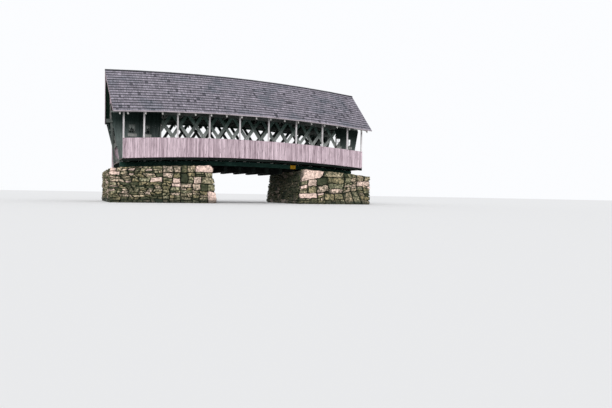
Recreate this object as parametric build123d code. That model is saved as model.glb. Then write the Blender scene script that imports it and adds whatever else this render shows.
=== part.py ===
from build123d import *
import os
from math import asin, ceil, cos, degrees, radians, sin, sqrt, tan

os.makedirs("parts", exist_ok=True)

# Covered bridge on two stone abutments, with an outside walkway on one side.
# Millimetres. X runs along the bridge, Z is up from the water, and -Y is the walkway side.
# The whole timber frame is cambered: every height below is the one at mid-span, and all
# levels are arcs about one axis, so a level drops towards both ends by the same curve.

# Camber and length
camber_radius = 126400      # radius of the arc at the underside of the lower chords
station_pitch = 1220        # spacing of lattice crossings, tie beams and rafters
stations_each_side = 8      # tie beams and rafters on each side of mid-span
end_reach = 265             # from the last station to the outer face of an end post
portal_reach = 300          # the upper chords and the plate run on past the end posts
roof_end_overhang = 695     # past the trusses' ends, along the eave
seat_gap = 0.3              # clearance where a flat cut seats on a cambered face

# Trusses
chord_underside = 3050      # height of the lower chords' underside above the water
lower_chord_depth = 350
upper_chord_depth = 300
chord_plank = 75            # thickness of one chord plank, one each side of the web
truss_height = 4220
web_plank_width = 250
web_plank_thickness = 60
web_plank_inset = 20        # the web planks stop short of the chords' outer edges
crossing_rows = 4           # steps between the rows of crossings, from the lowest to the highest
lowest_crossing = 550       # above the lower chords' underside
end_post_width = 150
framing_half_width = 3545   # outer faces of the walkway plate and of the far truss
walkway_width = 1760        # clear, from the walkway posts to the near truss

# Floors
floor_beam_width = 250
floor_beam_depth = 500
bearing_timber_depth = 200
beam_end_overhang = 60      # past the trusses' outer faces
beam_stone_gap = 100        # least distance from a floor beam to the face of an abutment
stringer_count = 5
stringer_width = 100
road_deck_thickness = 100
walkway_joist_width = 75
walkway_joist_depth = 150
walkway_deck_thickness = 50
edge_beam_width = 200       # under the walkway posts and a little further in

# Walkway posts and parapet
post_size = 110
post_bays_each_side = 4     # walkway posts on each side of mid-span
parapet_height = 1465       # boards, from their lower edge up
parapet_board = 25
parapet_rail_width = 40
parapet_rail_depth = 90
parapet_drop = 10           # the boards' lower edge below the walkway deck's top

# Roof
tie_width = 130
tie_depth = 200
tie_roof_gap = 3            # from a tie beam's cut corners to the roof
rafter_width = 100
rafter_depth = 200
birdsmouth_depth = 100
plate_width = 100
post_head_gap = 10          # from a post's top to the rafter's underside above it
eave_overhang = 486         # past the walkway posts' outer faces, and as much on the far side
roof_pitch = 41.6           # degrees
roof_thickness = 60         # boards and shingles, square to the slope
tail_inset = 71             # rafter ends stand back from the eave
ridge_board_width = 50
ridge_board_depth = 260
ridge_cap_width = 170       # down each slope
ridge_cap_thickness = 25
rake_board_depth = 190
rake_board_thickness = 35

# Portal gables
gable_board = 25
gable_height = 2285         # from the roof's peak down to the boarding's lower edge
collar_depth = 150
collar_width = 75

# Boarded bays at the ends of the trusses
panel_board = 25
panel_lean = 350            # at the top, the outer edge stands this far past the truss's end
panel_length = {"left": 3025, "right": 1675}            # from the truss's end
window_width = 480
window_height = 680
window_rise = 217           # sills above the far boarding's top at mid-span
window_places = {"left": (835, 1925), "right": (325, 1400)}     # centres, from the truss's end
window_frame_width = 40
window_frame_depth = 60
window_stand = 10           # frames stand proud of the boards
girt_depth = 120
girt_clear = 20             # from a girt to a window
panel_head_gap = 40         # below the rafters' heels
panel_foot_gap = 20

# Boarding on the far truss and the plate on the near lower chord
far_boarding_height = 1963
sign_width = 500
sign_height = 330
sign_thickness = 4
sign_centre = 4200

# Abutments
abutment_foot = {"left": -3030, "right": 3830}          # the faces at the water, at its level
face_batter = 400           # those faces lean back by this much up to the seat
abutment_reach = 875        # past the trusses' ends
abutment_ledge = 85         # past the walkway posts' outer faces, and as much on the far side
wing_wall_width = 480
wing_wall_rise = {"left": 110, "right": 140}            # above the seat

# Worked out from the sizes above: lengths and the camber
truss_half = stations_each_side * station_pitch + end_reach
roof_half = truss_half + roof_end_overhang
camber_centre = chord_underside - camber_radius
camber_axis = Axis((0, 0, camber_centre), (0, 1, 0))

# Heights at mid-span
chord_top = chord_underside + lower_chord_depth
truss_top = chord_underside + truss_height
upper_chord_underside = truss_top - upper_chord_depth
crossing_pitch = (truss_height - upper_chord_depth / 2 - lowest_crossing) / crossing_rows
middle_crossing = chord_underside + lowest_crossing + crossing_pitch * crossing_rows / 2
joist_top = chord_top + walkway_joist_depth
walkway_deck_top = joist_top + walkway_deck_thickness
parapet_foot = walkway_deck_top - parapet_drop
parapet_top = parapet_foot + parapet_height
far_boarding_top = chord_underside + far_boarding_height
seat_height = chord_underside - bearing_timber_depth
heel_underside = truss_top - birdsmouth_depth

# The windows don't follow the camber: this is their sills' true height
window_sill = far_boarding_top + window_rise

# Places across the bridge
truss_half_thickness = web_plank_thickness + chord_plank
near_truss_y = -framing_half_width + walkway_width + truss_half_thickness
far_truss_y = framing_half_width - truss_half_thickness
near_outer = near_truss_y - truss_half_thickness
near_inner = near_truss_y + truss_half_thickness
far_inner = far_truss_y - truss_half_thickness
far_outer = framing_half_width
near_web_outer = near_truss_y - web_plank_thickness
near_web_inner = near_truss_y + web_plank_thickness
far_web_inner = far_truss_y - web_plank_thickness
far_web_outer = far_truss_y + web_plank_thickness
post_inner = -framing_half_width
post_outer = post_inner - post_size
rail_outer = post_outer - parapet_rail_width
abutment_half_width = abutment_ledge - post_outer

# The roof's slope
pitch = radians(roof_pitch)
roof_run = eave_overhang - post_outer
rafter_plumb = rafter_depth / cos(pitch)
roof_plumb = roof_thickness / cos(pitch)
eave_underside = heel_underside + rafter_plumb + seat_gap - (roof_run - framing_half_width) * tan(pitch)


def radius_at(height):
    """Radius of the camber's arc through a mid-span height."""
    return height - camber_centre


def tilt(x, height):
    """Angle about the camber axis of the point at x on the level of a mid-span height."""
    return degrees(asin(x / radius_at(height)))


def arc_height(x, height):
    """Height at x of the level that has a mid-span height."""
    return camber_centre + sqrt(radius_at(height) ** 2 - x ** 2)


def level_of(x, z):
    """Mid-span height of the level that passes through a point."""
    return camber_centre + sqrt(x ** 2 + (z - camber_centre) ** 2)


def underside_of_roof(y):
    """Mid-span height of the roof's underside."""
    return eave_underside + (roof_run - abs(y)) * tan(pitch)


def roof_line(height):
    """Distance from the ridge at which the roof's underside is at a mid-span height."""
    return roof_run - (height - eave_underside) / tan(pitch)


# Angles of the trusses' ends, and the places of the roof frames along the trusses' top
truss_tilt = tilt(truss_half, chord_underside)
portal_tilt = tilt(truss_half + portal_reach, chord_underside)
roof_tilt = tilt(roof_half, eave_underside)
parapet_tilt = tilt(truss_half, parapet_top)
truss_end_at_top = radius_at(truss_top) * sin(radians(truss_tilt))
portal_place = truss_end_at_top - rafter_width / 2
frame_places = [k * station_pitch for k in range(-stations_each_side, stations_each_side + 1)]
roof_places = [-portal_place] + frame_places + [portal_place]


def section(outline):
    """A face across the bridge at mid-span, from an outline of (y, z) points."""
    return Plane.YZ * make_face(Polyline(*outline, close=True))


def bar_outline(y0, y1, z0, z1):
    """A rectangle's corners."""
    return [(y0, z0), (y1, z0), (y1, z1), (y0, z1)]


def arched(outline, start_tilt, end_tilt):
    """A long member: an outline carried along the camber between two angles."""
    return revolve(section(outline).rotate(camber_axis, start_tilt), camber_axis, end_tilt - start_tilt)


def arched_bar(y0, y1, z0, z1, end_tilt):
    """A long member of rectangular section that ends at the same angle on both sides of mid-span."""
    return arched(bar_outline(y0, y1, z0, z1), -end_tilt, end_tilt)


def framed(outline):
    """A part of the roof: an outline of (y, z) points that runs straight from each rafter to the next."""
    turns = [-roof_tilt] + [tilt(x, truss_top) for x in roof_places] + [roof_tilt]
    rings = []
    for turn in map(radians, turns):
        rings.append([(radius_at(z) * sin(turn), y, camber_centre + radius_at(z) * cos(turn))
                      for y, z in outline])
    facets = [rings[0], rings[-1]]
    for here, there in zip(rings, rings[1:]):
        facets += [[here[k - 1], here[k], there[k], there[k - 1]] for k in range(len(outline))]
    return Solid(Shell([Face(Wire.make_polygon(facet)) for facet in facets]))


def cross_piece(outline, width):
    """A member across the bridge at mid-span, as wide as width along X."""
    return extrude(section(outline), width / 2, both=True)


def side_face(*edges):
    """A face seen from the walkway side, from edges in (x, z)."""
    return Plane(origin=(0, 0, 0), x_dir=(1, 0, 0), z_dir=(0, -1, 0)) * make_face(edges)


def side_piece(outline, y0, y1):
    """A flat piece in the plane of a truss: an outline of (x, z) points between two Y planes."""
    return extrude(side_face(Polyline(*outline, close=True)), y1 - y0).moved(Location((0, y1, 0)))


def box_outline(x0, x1, z0, z1):
    """A level rectangle's corners, as seen from the side."""
    return [(x0, z0), (x1, z0), (x1, z1), (x0, z1)]


def at_stations(piece, places, height):
    """Copies of a mid-span piece, each turned with the camber to its place along a level."""
    return [piece.rotate(camber_axis, tilt(x, height)) for x in places]


def save(node, *solids):
    """Writes one named sub-part, as a single solid or a set of like solids."""
    export_step(solids[0] if len(solids) == 1 else Compound(list(solids)), f"parts/{node}.step")


def lattice(centre_y, end_tilt):
    """The web of one truss: two layers of planks that lean opposite ways and cross in rows.

    Each plank passes through a station at the middle row. The web stops at the end posts, and
    short off-cuts there that cross no other plank are left out.
    """
    lean = station_pitch / 2 / crossing_pitch
    half_cut = web_plank_width / 2 * sqrt(1 + lean ** 2)
    foot = chord_underside + web_plank_inset
    head = truss_top - web_plank_inset
    planks_each_side = ceil((truss_half + lean * truss_height) / station_pitch)
    places = [k * station_pitch for k in range(-planks_each_side, planks_each_side + 1)]
    planks = []
    for side in (-1, 1):
        x0 = side * (foot - middle_crossing) * lean
        x1 = side * (head - middle_crossing) * lean
        outline = [(x0 - half_cut, foot), (x0 + half_cut, foot), (x1 + half_cut, head), (x1 - half_cut, head)]
        y0 = centre_y - web_plank_thickness if side > 0 else centre_y
        planks += at_stations(side_piece(outline, y0, y0 + web_plank_thickness), places, middle_crossing)
    web = planks[0].fuse(*planks[1:])
    web &= arched_bar(centre_y - web_plank_thickness, centre_y + web_plank_thickness, chord_underside, truss_top,
                      end_tilt)
    return max(web.solids(), key=lambda solid: solid.volume)


def truss(name, centre_y):
    """One truss: web, chord planks clasping it, and an end post closing each end."""
    web_y = (centre_y - web_plank_thickness, centre_y + web_plank_thickness)
    chord_y = ((centre_y - truss_half_thickness, web_y[0]), (web_y[1], centre_y + truss_half_thickness))
    web_tilt = truss_tilt - degrees(end_post_width / camber_radius)
    save(f"{name}_lattice", lattice(centre_y, web_tilt))
    save(f"{name}_lower_chord", *[arched_bar(*y, chord_underside, chord_top, truss_tilt) for y in chord_y])
    save(f"{name}_upper_chord", *[arched_bar(*y, upper_chord_underside, truss_top, portal_tilt)
                                  for y in chord_y])
    post = bar_outline(*web_y, chord_underside, truss_top)
    save(f"{name}_end_posts", arched(post, -truss_tilt, -web_tilt), arched(post, web_tilt, truss_tilt))


truss("near_truss", near_truss_y)
truss("far_truss", far_truss_y)

# Floor beams over the water, and bearing timbers over the stone
beam_places = [(k + 0.5) * station_pitch for k in range(-stations_each_side, stations_each_side)]
clear_of_stone = floor_beam_width / 2 + beam_stone_gap
first_over_water = abutment_foot["left"] - face_batter + clear_of_stone
last_over_water = abutment_foot["right"] + face_batter - clear_of_stone
over_water = [x for x in beam_places if first_over_water < x < last_over_water]
over_stone = [x for x in beam_places if x not in over_water]
beam_ends = (near_outer - beam_end_overhang, far_outer + beam_end_overhang)
beam_top = chord_underside - seat_gap
floor_beam = cross_piece(bar_outline(*beam_ends, chord_underside - floor_beam_depth, beam_top),
                         floor_beam_width)
bearing = cross_piece(bar_outline(*beam_ends, seat_height + seat_gap, beam_top), floor_beam_width)
save("floor_beams", *at_stations(floor_beam, over_water, chord_underside))
save("bearing_timbers", *at_stations(bearing, over_stone, chord_underside))

# Road floor
stringer_pitch = (far_inner - near_inner) / stringer_count
stringer_lines = [near_inner + (k + 0.5) * stringer_pitch for k in range(stringer_count)]
save("road_stringers", *[arched_bar(y - stringer_width / 2, y + stringer_width / 2, chord_underside,
                                    chord_top - seat_gap, truss_tilt) for y in stringer_lines])
save("road_deck", arched_bar(near_web_inner, far_web_inner, chord_top + seat_gap,
                             chord_top + road_deck_thickness, truss_tilt))

# Walkway floor: joists from the near truss to an edge beam under the posts
edge_beam_inner = post_outer + edge_beam_width
save("walkway_edge_beam", arched_bar(post_outer, edge_beam_inner, chord_top, joist_top - seat_gap,
                                     truss_tilt))
joist = cross_piece(bar_outline(edge_beam_inner, near_web_outer, chord_top + seat_gap, joist_top - seat_gap),
                    walkway_joist_width)
joist_places = [k * station_pitch / 2 for k in range(-2 * stations_each_side, 2 * stations_each_side + 1)]
save("walkway_joists", *at_stations(joist, joist_places, chord_top))
save("walkway_deck", arched_bar(post_outer, near_web_outer, joist_top, walkway_deck_top, truss_tilt))

# Walkway posts stand plumb on the deck, with both ends cut to the slope of the camber
post_foot = walkway_deck_top + seat_gap
post_head = underside_of_roof(post_outer) - seat_gap - rafter_plumb - post_head_gap


def plumb_post(x):
    """One post, centred on x."""
    left = x - post_size / 2
    right = x + post_size / 2
    outline = [(left, arc_height(left, post_foot)), (right, arc_height(right, post_foot)),
               (right, arc_height(right, post_head)), (left, arc_height(left, post_head))]
    return side_piece(outline, post_outer, post_inner)


end_post_place = truss_half - post_size / 2
post_places = [(2 * k + 1) * station_pitch for k in range(-post_bays_each_side, post_bays_each_side)]
post_places = [-end_post_place] + post_places + [end_post_place]
save("walkway_posts", *[plumb_post(x) for x in post_places])

# Parapet: two rails on the posts' outer faces, with upright boards on the rails
save("parapet_rails", *[arched_bar(rail_outer, post_outer, foot, foot + parapet_rail_depth, parapet_tilt)
                        for foot in (parapet_foot, parapet_top - parapet_rail_depth)])
save("parapet_boarding", arched_bar(rail_outer - parapet_board, rail_outer, parapet_foot, parapet_top,
                                    parapet_tilt))

# Far truss boarding, with a rail that packs it out from the web
save("far_boarding_rail", arched_bar(far_web_outer, far_outer, far_boarding_top - parapet_rail_depth,
                                     far_boarding_top, truss_tilt))
save("far_boarding", arched_bar(far_outer, far_outer + parapet_board, chord_underside, far_boarding_top,
                                truss_tilt))

# Roof frame: the plate on the posts' inner faces, and tie beams on it and on the trusses
save("walkway_plate", arched_bar(post_inner, post_inner + plate_width, upper_chord_underside, truss_top,
                                 portal_tilt))


def at_frames(piece, offset=0):
    """Copies of a mid-span piece at every roof frame, offset towards mid-span."""
    copies = []
    for x in roof_places:
        towards_middle = -offset if x > 0 else offset
        copies.append(piece.moved(Location((towards_middle, 0, 0))).rotate(camber_axis, tilt(x, truss_top)))
    return copies


# Tie beams lap the rafters' inner sides and have their top corners cut to the roof
tie_head = truss_top + tie_depth
tie_shoulder = roof_line(tie_head + tie_roof_gap)
tie_end_head = underside_of_roof(framing_half_width) - tie_roof_gap
tie = cross_piece([(-framing_half_width, truss_top + seat_gap), (framing_half_width, truss_top + seat_gap),
                   (framing_half_width, tie_end_head), (tie_shoulder, tie_head), (-tie_shoulder, tie_head),
                   (-framing_half_width, tie_end_head)], tie_width)
save("tie_beams", *at_frames(tie, (tie_width + rafter_width) / 2))

# Rafters are notched over the walkway's plate and over the far truss
tail = roof_run - tail_inset
ridge_face = ridge_board_width / 2
notch_end = framing_half_width - (birdsmouth_depth + 2 * seat_gap) / tan(pitch)


def rafter(side):
    """One rafter at mid-span: side is -1 over the walkway and 1 over the far truss."""
    top = [(side * y, underside_of_roof(y) - seat_gap) for y in (ridge_face, tail)]
    underside = [(side * y, underside_of_roof(y) - seat_gap - rafter_plumb)
                 for y in (tail, framing_half_width)]
    notch = [(side * framing_half_width, truss_top + seat_gap), (side * notch_end, truss_top + seat_gap)]
    head = [(side * ridge_face, underside_of_roof(ridge_face) - seat_gap - rafter_plumb)]
    return cross_piece(top + underside + notch + head, rafter_width)


save("near_rafters", *at_frames(rafter(-1)))
save("far_rafters", *at_frames(rafter(1)))

ridge_top = underside_of_roof(ridge_face) - seat_gap
save("ridge_board", framed(bar_outline(-ridge_face, ridge_face, ridge_top - ridge_board_depth, ridge_top)))


def roof_slope(side):
    """Boards and shingles of one slope, cut plumb at the eave and at the ridge."""
    return framed([(0, underside_of_roof(0)), (side * roof_run, eave_underside),
                   (side * roof_run, eave_underside + roof_plumb), (0, underside_of_roof(0) + roof_plumb)])


save("near_roof", roof_slope(-1))
save("far_roof", roof_slope(1))

# The ridge cap lies on both slopes
cap_run = ridge_cap_width * cos(pitch)
cap_drop = ridge_cap_width * sin(pitch)
cap_plumb = ridge_cap_thickness / cos(pitch)
cap_foot = underside_of_roof(0) + roof_plumb + seat_gap
cap_edge = cap_foot - cap_drop
save("ridge_cap", framed([(0, cap_foot), (cap_run, cap_edge), (cap_run, cap_edge + cap_plumb),
                          (0, cap_foot + cap_plumb), (-cap_run, cap_edge + cap_plumb), (-cap_run, cap_edge)]))


def rake_boards(end):
    """The pair of boards that hang under one end of the roof, cut level at the eaves: end is -1 or 1."""
    start = ridge_face + seat_gap
    stop = roof_run - tail_inset / 2
    depth = rake_board_depth / cos(pitch)
    boards = []
    for side in (-1, 1):
        top = [(side * y, underside_of_roof(y) - seat_gap) for y in (start, stop)]
        foot = [(side * (stop - depth / tan(pitch)), top[1][1]), (side * start, top[0][1] - depth)]
        board = cross_piece(top + foot, rake_board_thickness)
        boards.append(board.moved(Location((-end * rake_board_thickness / 2, 0, 0))).rotate(
            camber_axis, end * roof_tilt))
    return boards


save("rake_boards", *rake_boards(-1), *rake_boards(1))

# Portal gables: boarding over the opening, on the outer faces of the end rafters, with a collar behind
gable_foot = underside_of_roof(0) - gable_height


def at_portal(end, piece, out):
    """A mid-span piece at one portal's roof frame, moved outwards along the bridge."""
    return piece.moved(Location((end * out, 0, 0))).rotate(camber_axis, end * tilt(portal_place, truss_top))


def gable(end):
    """The boarding under one end of the roof, notched round the ridge board."""
    half = roof_line(gable_foot + seat_gap)
    slot = ridge_face + seat_gap
    slot_foot = ridge_top - ridge_board_depth - seat_gap
    slot_head = underside_of_roof(slot) - seat_gap
    outline = [(-half, gable_foot), (half, gable_foot), (slot, slot_head), (slot, slot_foot),
               (-slot, slot_foot), (-slot, slot_head)]
    return at_portal(end, cross_piece(outline, gable_board), (rafter_width + gable_board) / 2)


def collar(end):
    """The collar between a portal's two rafters, at the boarding's foot."""
    foot, head = gable_foot, gable_foot + collar_depth
    foot_half, head_half = (roof_line(z + rafter_plumb + 2 * seat_gap) for z in (foot, head))
    outline = [(-foot_half, foot), (foot_half, foot), (head_half, head), (-head_half, head)]
    return at_portal(end, cross_piece(outline, collar_width), (rafter_width - collar_width) / 2)


save("left_gable", gable(-1))
save("right_gable", gable(1))
save("portal_collars", collar(-1), collar(1))

# Boarded bays: upright boards with windows at the ends of both trusses, and girts behind them
side_of = {"left": -1, "right": 1}
panel_top = heel_underside - panel_head_gap


def window_centres(end):
    """Places of one end's windows along X."""
    return [side_of[end] * (truss_half - place) for place in window_places[end]]


def window_block(x, inset, y0, y1):
    """A window's outline, drawn in by inset on all sides, as a block between two Y planes."""
    half = window_width / 2 - inset
    return side_piece(box_outline(x - half, x + half, window_sill + inset, window_sill + window_height - inset),
                      y0, y1)


def panel_edge(end, height, foot):
    """Place along X of a panel's leaning outer edge, at a level."""
    share = (height - foot) / (panel_top - foot)
    return side_of[end] * (radius_at(height) * sin(radians(truss_tilt)) + panel_lean * share)


def end_panel(end, y0, y1, foot):
    """Boards from a mid-span foot height up, with an outer edge that leans out."""
    x0 = side_of[end] * (truss_half - panel_length[end])
    x1, x2 = (panel_edge(end, height, foot) for height in (foot, panel_top))
    board = side_piece([(x0, arc_height(x0, foot)), (x1, arc_height(x1, foot)),
                        (x2, arc_height(x2, panel_top)), (x0, arc_height(x0, panel_top))], y0, y1)
    for x in window_centres(end):
        board -= window_block(x, 0, y0 - panel_board, y1 + panel_board)
    return board


def girts(end, y0, y1, panel_foot):
    """Level nailers under and over the windows, between the boards and the web."""
    edges = [x + half for x in window_centres(end) for half in (-window_width / 2, window_width / 2)]
    under = min(level_of(x, window_sill) for x in edges) - girt_clear - girt_depth
    over = max(level_of(x, window_sill + window_height) for x in edges) + girt_clear
    bars = []
    for foot in (under, over):
        inner = side_of[end] * (truss_half - panel_length[end])
        ends = sorted((inner, panel_edge(end, foot, panel_foot) - side_of[end] * girt_clear))
        bars.append(arched(bar_outline(y0, y1, foot, foot + girt_depth), *[tilt(x, foot) for x in ends]))
    return bars


near_panel_foot = walkway_deck_top + panel_foot_gap
far_panel_foot = far_boarding_top + panel_foot_gap
for end in ("left", "right"):
    save(f"near_{end}_panel", end_panel(end, near_outer - panel_board, near_outer, near_panel_foot))
    save(f"far_{end}_panel", end_panel(end, far_outer, far_outer + panel_board, far_panel_foot))
save("near_panel_girts", *[bar for end in ("left", "right") for bar in girts(end, near_outer, near_web_outer,
                                                                             near_panel_foot)])
save("far_panel_girts", *[bar for end in ("left", "right") for bar in girts(end, far_web_outer, far_outer,
                                                                            far_panel_foot)])


def window_frame(x, y0):
    """One window's frame, from the plane y0 as deep as a frame is."""
    y1 = y0 + window_frame_depth
    opening = window_block(x, window_frame_width, y0 - window_stand, y1 + window_stand)
    return window_block(x, 0, y0, y1) - opening


frame_planes = (near_outer - panel_board - window_stand,
                far_outer + panel_board + window_stand - window_frame_depth)
save("window_frames", *[window_frame(x, y0) for y0 in frame_planes
                        for x in window_centres("left") + window_centres("right")])

# A bare plate on the near lower chord
plate_foot = chord_underside + (lower_chord_depth - sign_height) / 2
sign = side_piece(box_outline(-sign_width / 2, sign_width / 2, plate_foot, plate_foot + sign_height),
                  near_outer - sign_thickness, near_outer)
save("sign_plate", *at_stations(sign, [sign_centre], chord_underside))


# Abutments, with their seats cut to the camber, and a raised wall under the walkway
def level_edge(x0, x1, height):
    """The camber's arc between two places, or a straight edge at the water."""
    if height == 0:
        return Line((x0, 0), (x1, 0))
    middle = (x0 + x1) / 2
    return ThreePointArc(*[(x, arc_height(x, height)) for x in (x0, middle, x1)])


def level_ends(end, height):
    """Both ends along X of one end's stonework at a height: its face at the water, and its back."""
    lean = face_batter * height / seat_height
    return sorted((abutment_foot[end] + side_of[end] * lean, side_of[end] * (truss_half + abutment_reach)))


def masonry(end, y0, y1, foot, head):
    """One end's stonework between two levels, from its face at the water back to beyond the truss."""
    bottom = level_edge(*level_ends(end, foot), foot)
    top = level_edge(*level_ends(end, head), head)
    face = side_face(bottom, Line(bottom @ 1, top @ 1), top, Line(top @ 0, bottom @ 0))
    return extrude(face, y1 - y0).moved(Location((0, y1, 0)))


for end in ("left", "right"):
    save(f"{end}_abutment", masonry(end, -abutment_half_width, abutment_half_width, 0, seat_height))
    save(f"{end}_wing_wall", masonry(end, -abutment_half_width, -abutment_half_width + wing_wall_width,
                                     seat_height + seat_gap, seat_height + wing_wall_rise[end]))
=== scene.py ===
# %% [markdown]
# # A cambered covered bridge
# The frame is a plain model of the bridge: every timber in its place, but with walls, floors
# and roof slopes as plain sheets and the abutments as plain blocks. This notebook dresses it.
# Boards, shingles and stones are modelled once each and laid by the hundred, and every
# surface gets a material that is worked out from its own coordinates.

# %% The frame
import math
import random

import bpy
from mathutils import Matrix, Vector


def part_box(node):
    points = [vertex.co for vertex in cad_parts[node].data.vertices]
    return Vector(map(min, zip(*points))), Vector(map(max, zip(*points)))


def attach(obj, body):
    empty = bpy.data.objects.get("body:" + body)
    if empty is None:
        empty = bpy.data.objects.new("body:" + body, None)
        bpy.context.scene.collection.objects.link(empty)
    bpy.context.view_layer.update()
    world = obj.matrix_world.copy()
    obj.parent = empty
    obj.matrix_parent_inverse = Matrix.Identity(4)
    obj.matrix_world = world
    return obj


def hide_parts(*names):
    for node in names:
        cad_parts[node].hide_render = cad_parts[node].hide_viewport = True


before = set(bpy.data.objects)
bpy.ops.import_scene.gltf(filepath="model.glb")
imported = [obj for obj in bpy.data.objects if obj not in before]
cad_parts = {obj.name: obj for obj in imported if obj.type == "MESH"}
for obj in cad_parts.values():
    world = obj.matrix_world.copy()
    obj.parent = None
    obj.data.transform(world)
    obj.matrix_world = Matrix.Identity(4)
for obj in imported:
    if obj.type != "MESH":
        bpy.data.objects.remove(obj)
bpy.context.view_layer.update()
bpy.ops.object.select_all(action="DESELECT")
print("nodes in the frame:", len(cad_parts))

# %% [markdown]
# ## The camber
# The whole timber frame is bent upwards by a few hundred millimetres, so that it never looks
# slack. Every level line is an arc about one far axis under the bridge. A height named here is
# the one at mid-span, and a piece made at mid-span is either turned about that axis to its
# place, or, if the real one stands plumb, only lowered to it. A modifier could bend a straight
# bridge in one go, but it would bend each board and shingle too, and sawn wood stays straight.

# %% Camber
CAMBER_RADIUS = 126.4       # metres, at the underside of the lower chords
CHORD_UNDERSIDE = 3.05      # the lower chords' underside at mid-span
STATION = 1.22              # spacing of the lattice crossings, tie beams and rafters
camber_centre = CHORD_UNDERSIDE - CAMBER_RADIUS


def drop(x, level):
    """How far a level has fallen at x."""
    radius = level - camber_centre
    return radius - math.sqrt(radius ** 2 - x ** 2)


def turned(angle):
    """The matrix that turns a mid-span piece along the camber."""
    to_axis = Matrix.Translation((0, 0, camber_centre))
    return to_axis @ Matrix.Rotation(angle, 4, "Y") @ to_axis.inverted()


def angle_at(x, level):
    """The camber's angle at x on a level."""
    return math.asin(x / (level - camber_centre))


roof_low, roof_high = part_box("near_roof")
print("the eaves fall", round(drop(roof_high.x, roof_low.z), 3), "m from mid-span to the ends")

# %% [markdown]
# ## Copies of one piece
# A board, a shingle or a stone is modelled once. Each copy gets its own mesh, its place is
# applied to that mesh, and it carries a number called tone, which the materials read to make
# one board paler than the next. The copies are then joined into one piece that rides on the
# bridge. An array modifier would do it with less code, but every copy would be alike, and here
# each has its own width, tone and small fault.

# %% Masters and copies
def set_tone(mesh, value):
    """Stores one tone on all the faces of a mesh."""
    if "tone" not in mesh.attributes:
        mesh.attributes.new("tone", "FLOAT", "FACE")
    mesh.attributes["tone"].data.foreach_set("value", [value] * len(mesh.polygons))


def sawn_block(name, size, eased):
    """A sawn piece centred on the origin, with its arrises eased by a small bevel."""
    bpy.ops.mesh.primitive_cube_add(size=1, scale=size)
    made = bpy.context.object
    made.name = name
    bpy.ops.object.transform_apply(location=False, rotation=False, scale=True)
    bpy.ops.object.mode_set(mode="EDIT")
    bpy.ops.mesh.select_all(action="SELECT")
    bpy.ops.mesh.bevel(offset=eased, segments=1, affect="EDGES")
    bpy.ops.object.mode_set(mode="OBJECT")
    set_tone(made.data, 0.5)
    return made


def joined(name, meshes):
    """Makes one piece of many meshes."""
    copies = []
    for mesh in meshes:
        copy = bpy.data.objects.new(name, mesh)
        bpy.context.collection.objects.link(copy)
        copies.append(copy)
    bpy.ops.object.select_all(action="DESELECT")
    for copy in copies:
        copy.select_set(True)
    bpy.context.view_layer.objects.active = copies[0]
    bpy.ops.object.join()
    print(name, "has", len(meshes), "pieces and", len(copies[0].data.polygons), "faces")
    return copies[0]


def lay(name, masters, places):
    """Copies the masters in turn to places of (matrix, tone), and joins the copies."""
    meshes = []
    for k, (matrix, tone) in enumerate(places):
        mesh = masters[k % len(masters)].data.copy()
        mesh.transform(matrix)
        set_tone(mesh, tone)
        meshes.append(mesh)
    return joined(name, meshes)


def put_away(*masters):
    """Masters are only patterns, so they go once their copies are laid."""
    for master in masters:
        bpy.data.objects.remove(master)


def dress(piece, material):
    """Gives a finished piece its material and its place on the bridge."""
    piece.data.materials.clear()
    piece.data.materials.append(material)
    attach(piece, "root")


print("a piece is made by sawn_block, laid by lay, and finished by dress")

# %% [markdown]
# ## Nodes without clutter
# Materials are trees of nodes. A few short helpers keep the trees readable: they add a node
# and fill its sockets, mix two colours, do arithmetic, carry a value from one range to another,
# and start a group of nodes that has named sockets.

# %% Node helpers
def node(tree, kind, inputs, **settings):
    """Adds a node. A socket gets a number or colour, or a link if the value is a socket."""
    made = tree.nodes.new("ShaderNode" + kind)
    for key, value in settings.items():
        setattr(made, key, value)
    for socket, value in inputs.items():
        if isinstance(value, bpy.types.NodeSocket):
            tree.links.new(value, made.inputs[socket])
        else:
            made.inputs[socket].default_value = value
    return made


def mix(tree, factor, a, b, blend="MIX"):
    """A colour between a and b, or a blended with b."""
    return node(tree, "Mix", {0: factor, 6: a, 7: b}, data_type="RGBA", blend_type=blend).outputs[2]


def calc(tree, operation, a, b=0.0, clamp=False):
    """One step of arithmetic."""
    return node(tree, "Math", {0: a, 1: b}, operation=operation, use_clamp=clamp).outputs[0]


def weighted(tree, a, b, share):
    """A mean in which a has a share and b has the rest."""
    rest = calc(tree, "MULTIPLY", b, 1 - share)
    return calc(tree, "ADD", calc(tree, "MULTIPLY", a, share), rest, clamp=True)


def remap(tree, value, low, high, to_low=0.0, to_high=1.0):
    """A value carried from one range to another, and held inside it."""
    return node(tree, "MapRange", {"Value": value, "From Min": low, "From Max": high,
                                   "To Min": to_low, "To Max": to_high}).outputs[0]


def noise(tree, place, scale, **more):
    """A cloudy value around one half."""
    return node(tree, "TexNoise", {"Vector": place, "Scale": scale, **more}).outputs["Fac"]


def part_of(tree, vector, axis):
    """The X, Y or Z of a vector."""
    return node(tree, "SeparateXYZ", {0: vector}).outputs[axis]


def stored(tree, label):
    """A number that the mesh stores."""
    return node(tree, "Attribute", {}, attribute_name=label).outputs["Fac"]


def new_group(name, inputs, outputs):
    """An empty shader group with named sockets, and its two ends."""
    group = bpy.data.node_groups.new(name, "ShaderNodeTree")
    for label, kind in inputs.items():
        group.interface.new_socket(label, in_out="INPUT", socket_type="NodeSocket" + kind)
    for label, kind in outputs.items():
        group.interface.new_socket(label, in_out="OUTPUT", socket_type="NodeSocket" + kind)
    return group, group.nodes.new("NodeGroupInput"), group.nodes.new("NodeGroupOutput")


print("a material's tree is built by node, mix, calc, weighted, remap, noise, part_of and stored")

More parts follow.
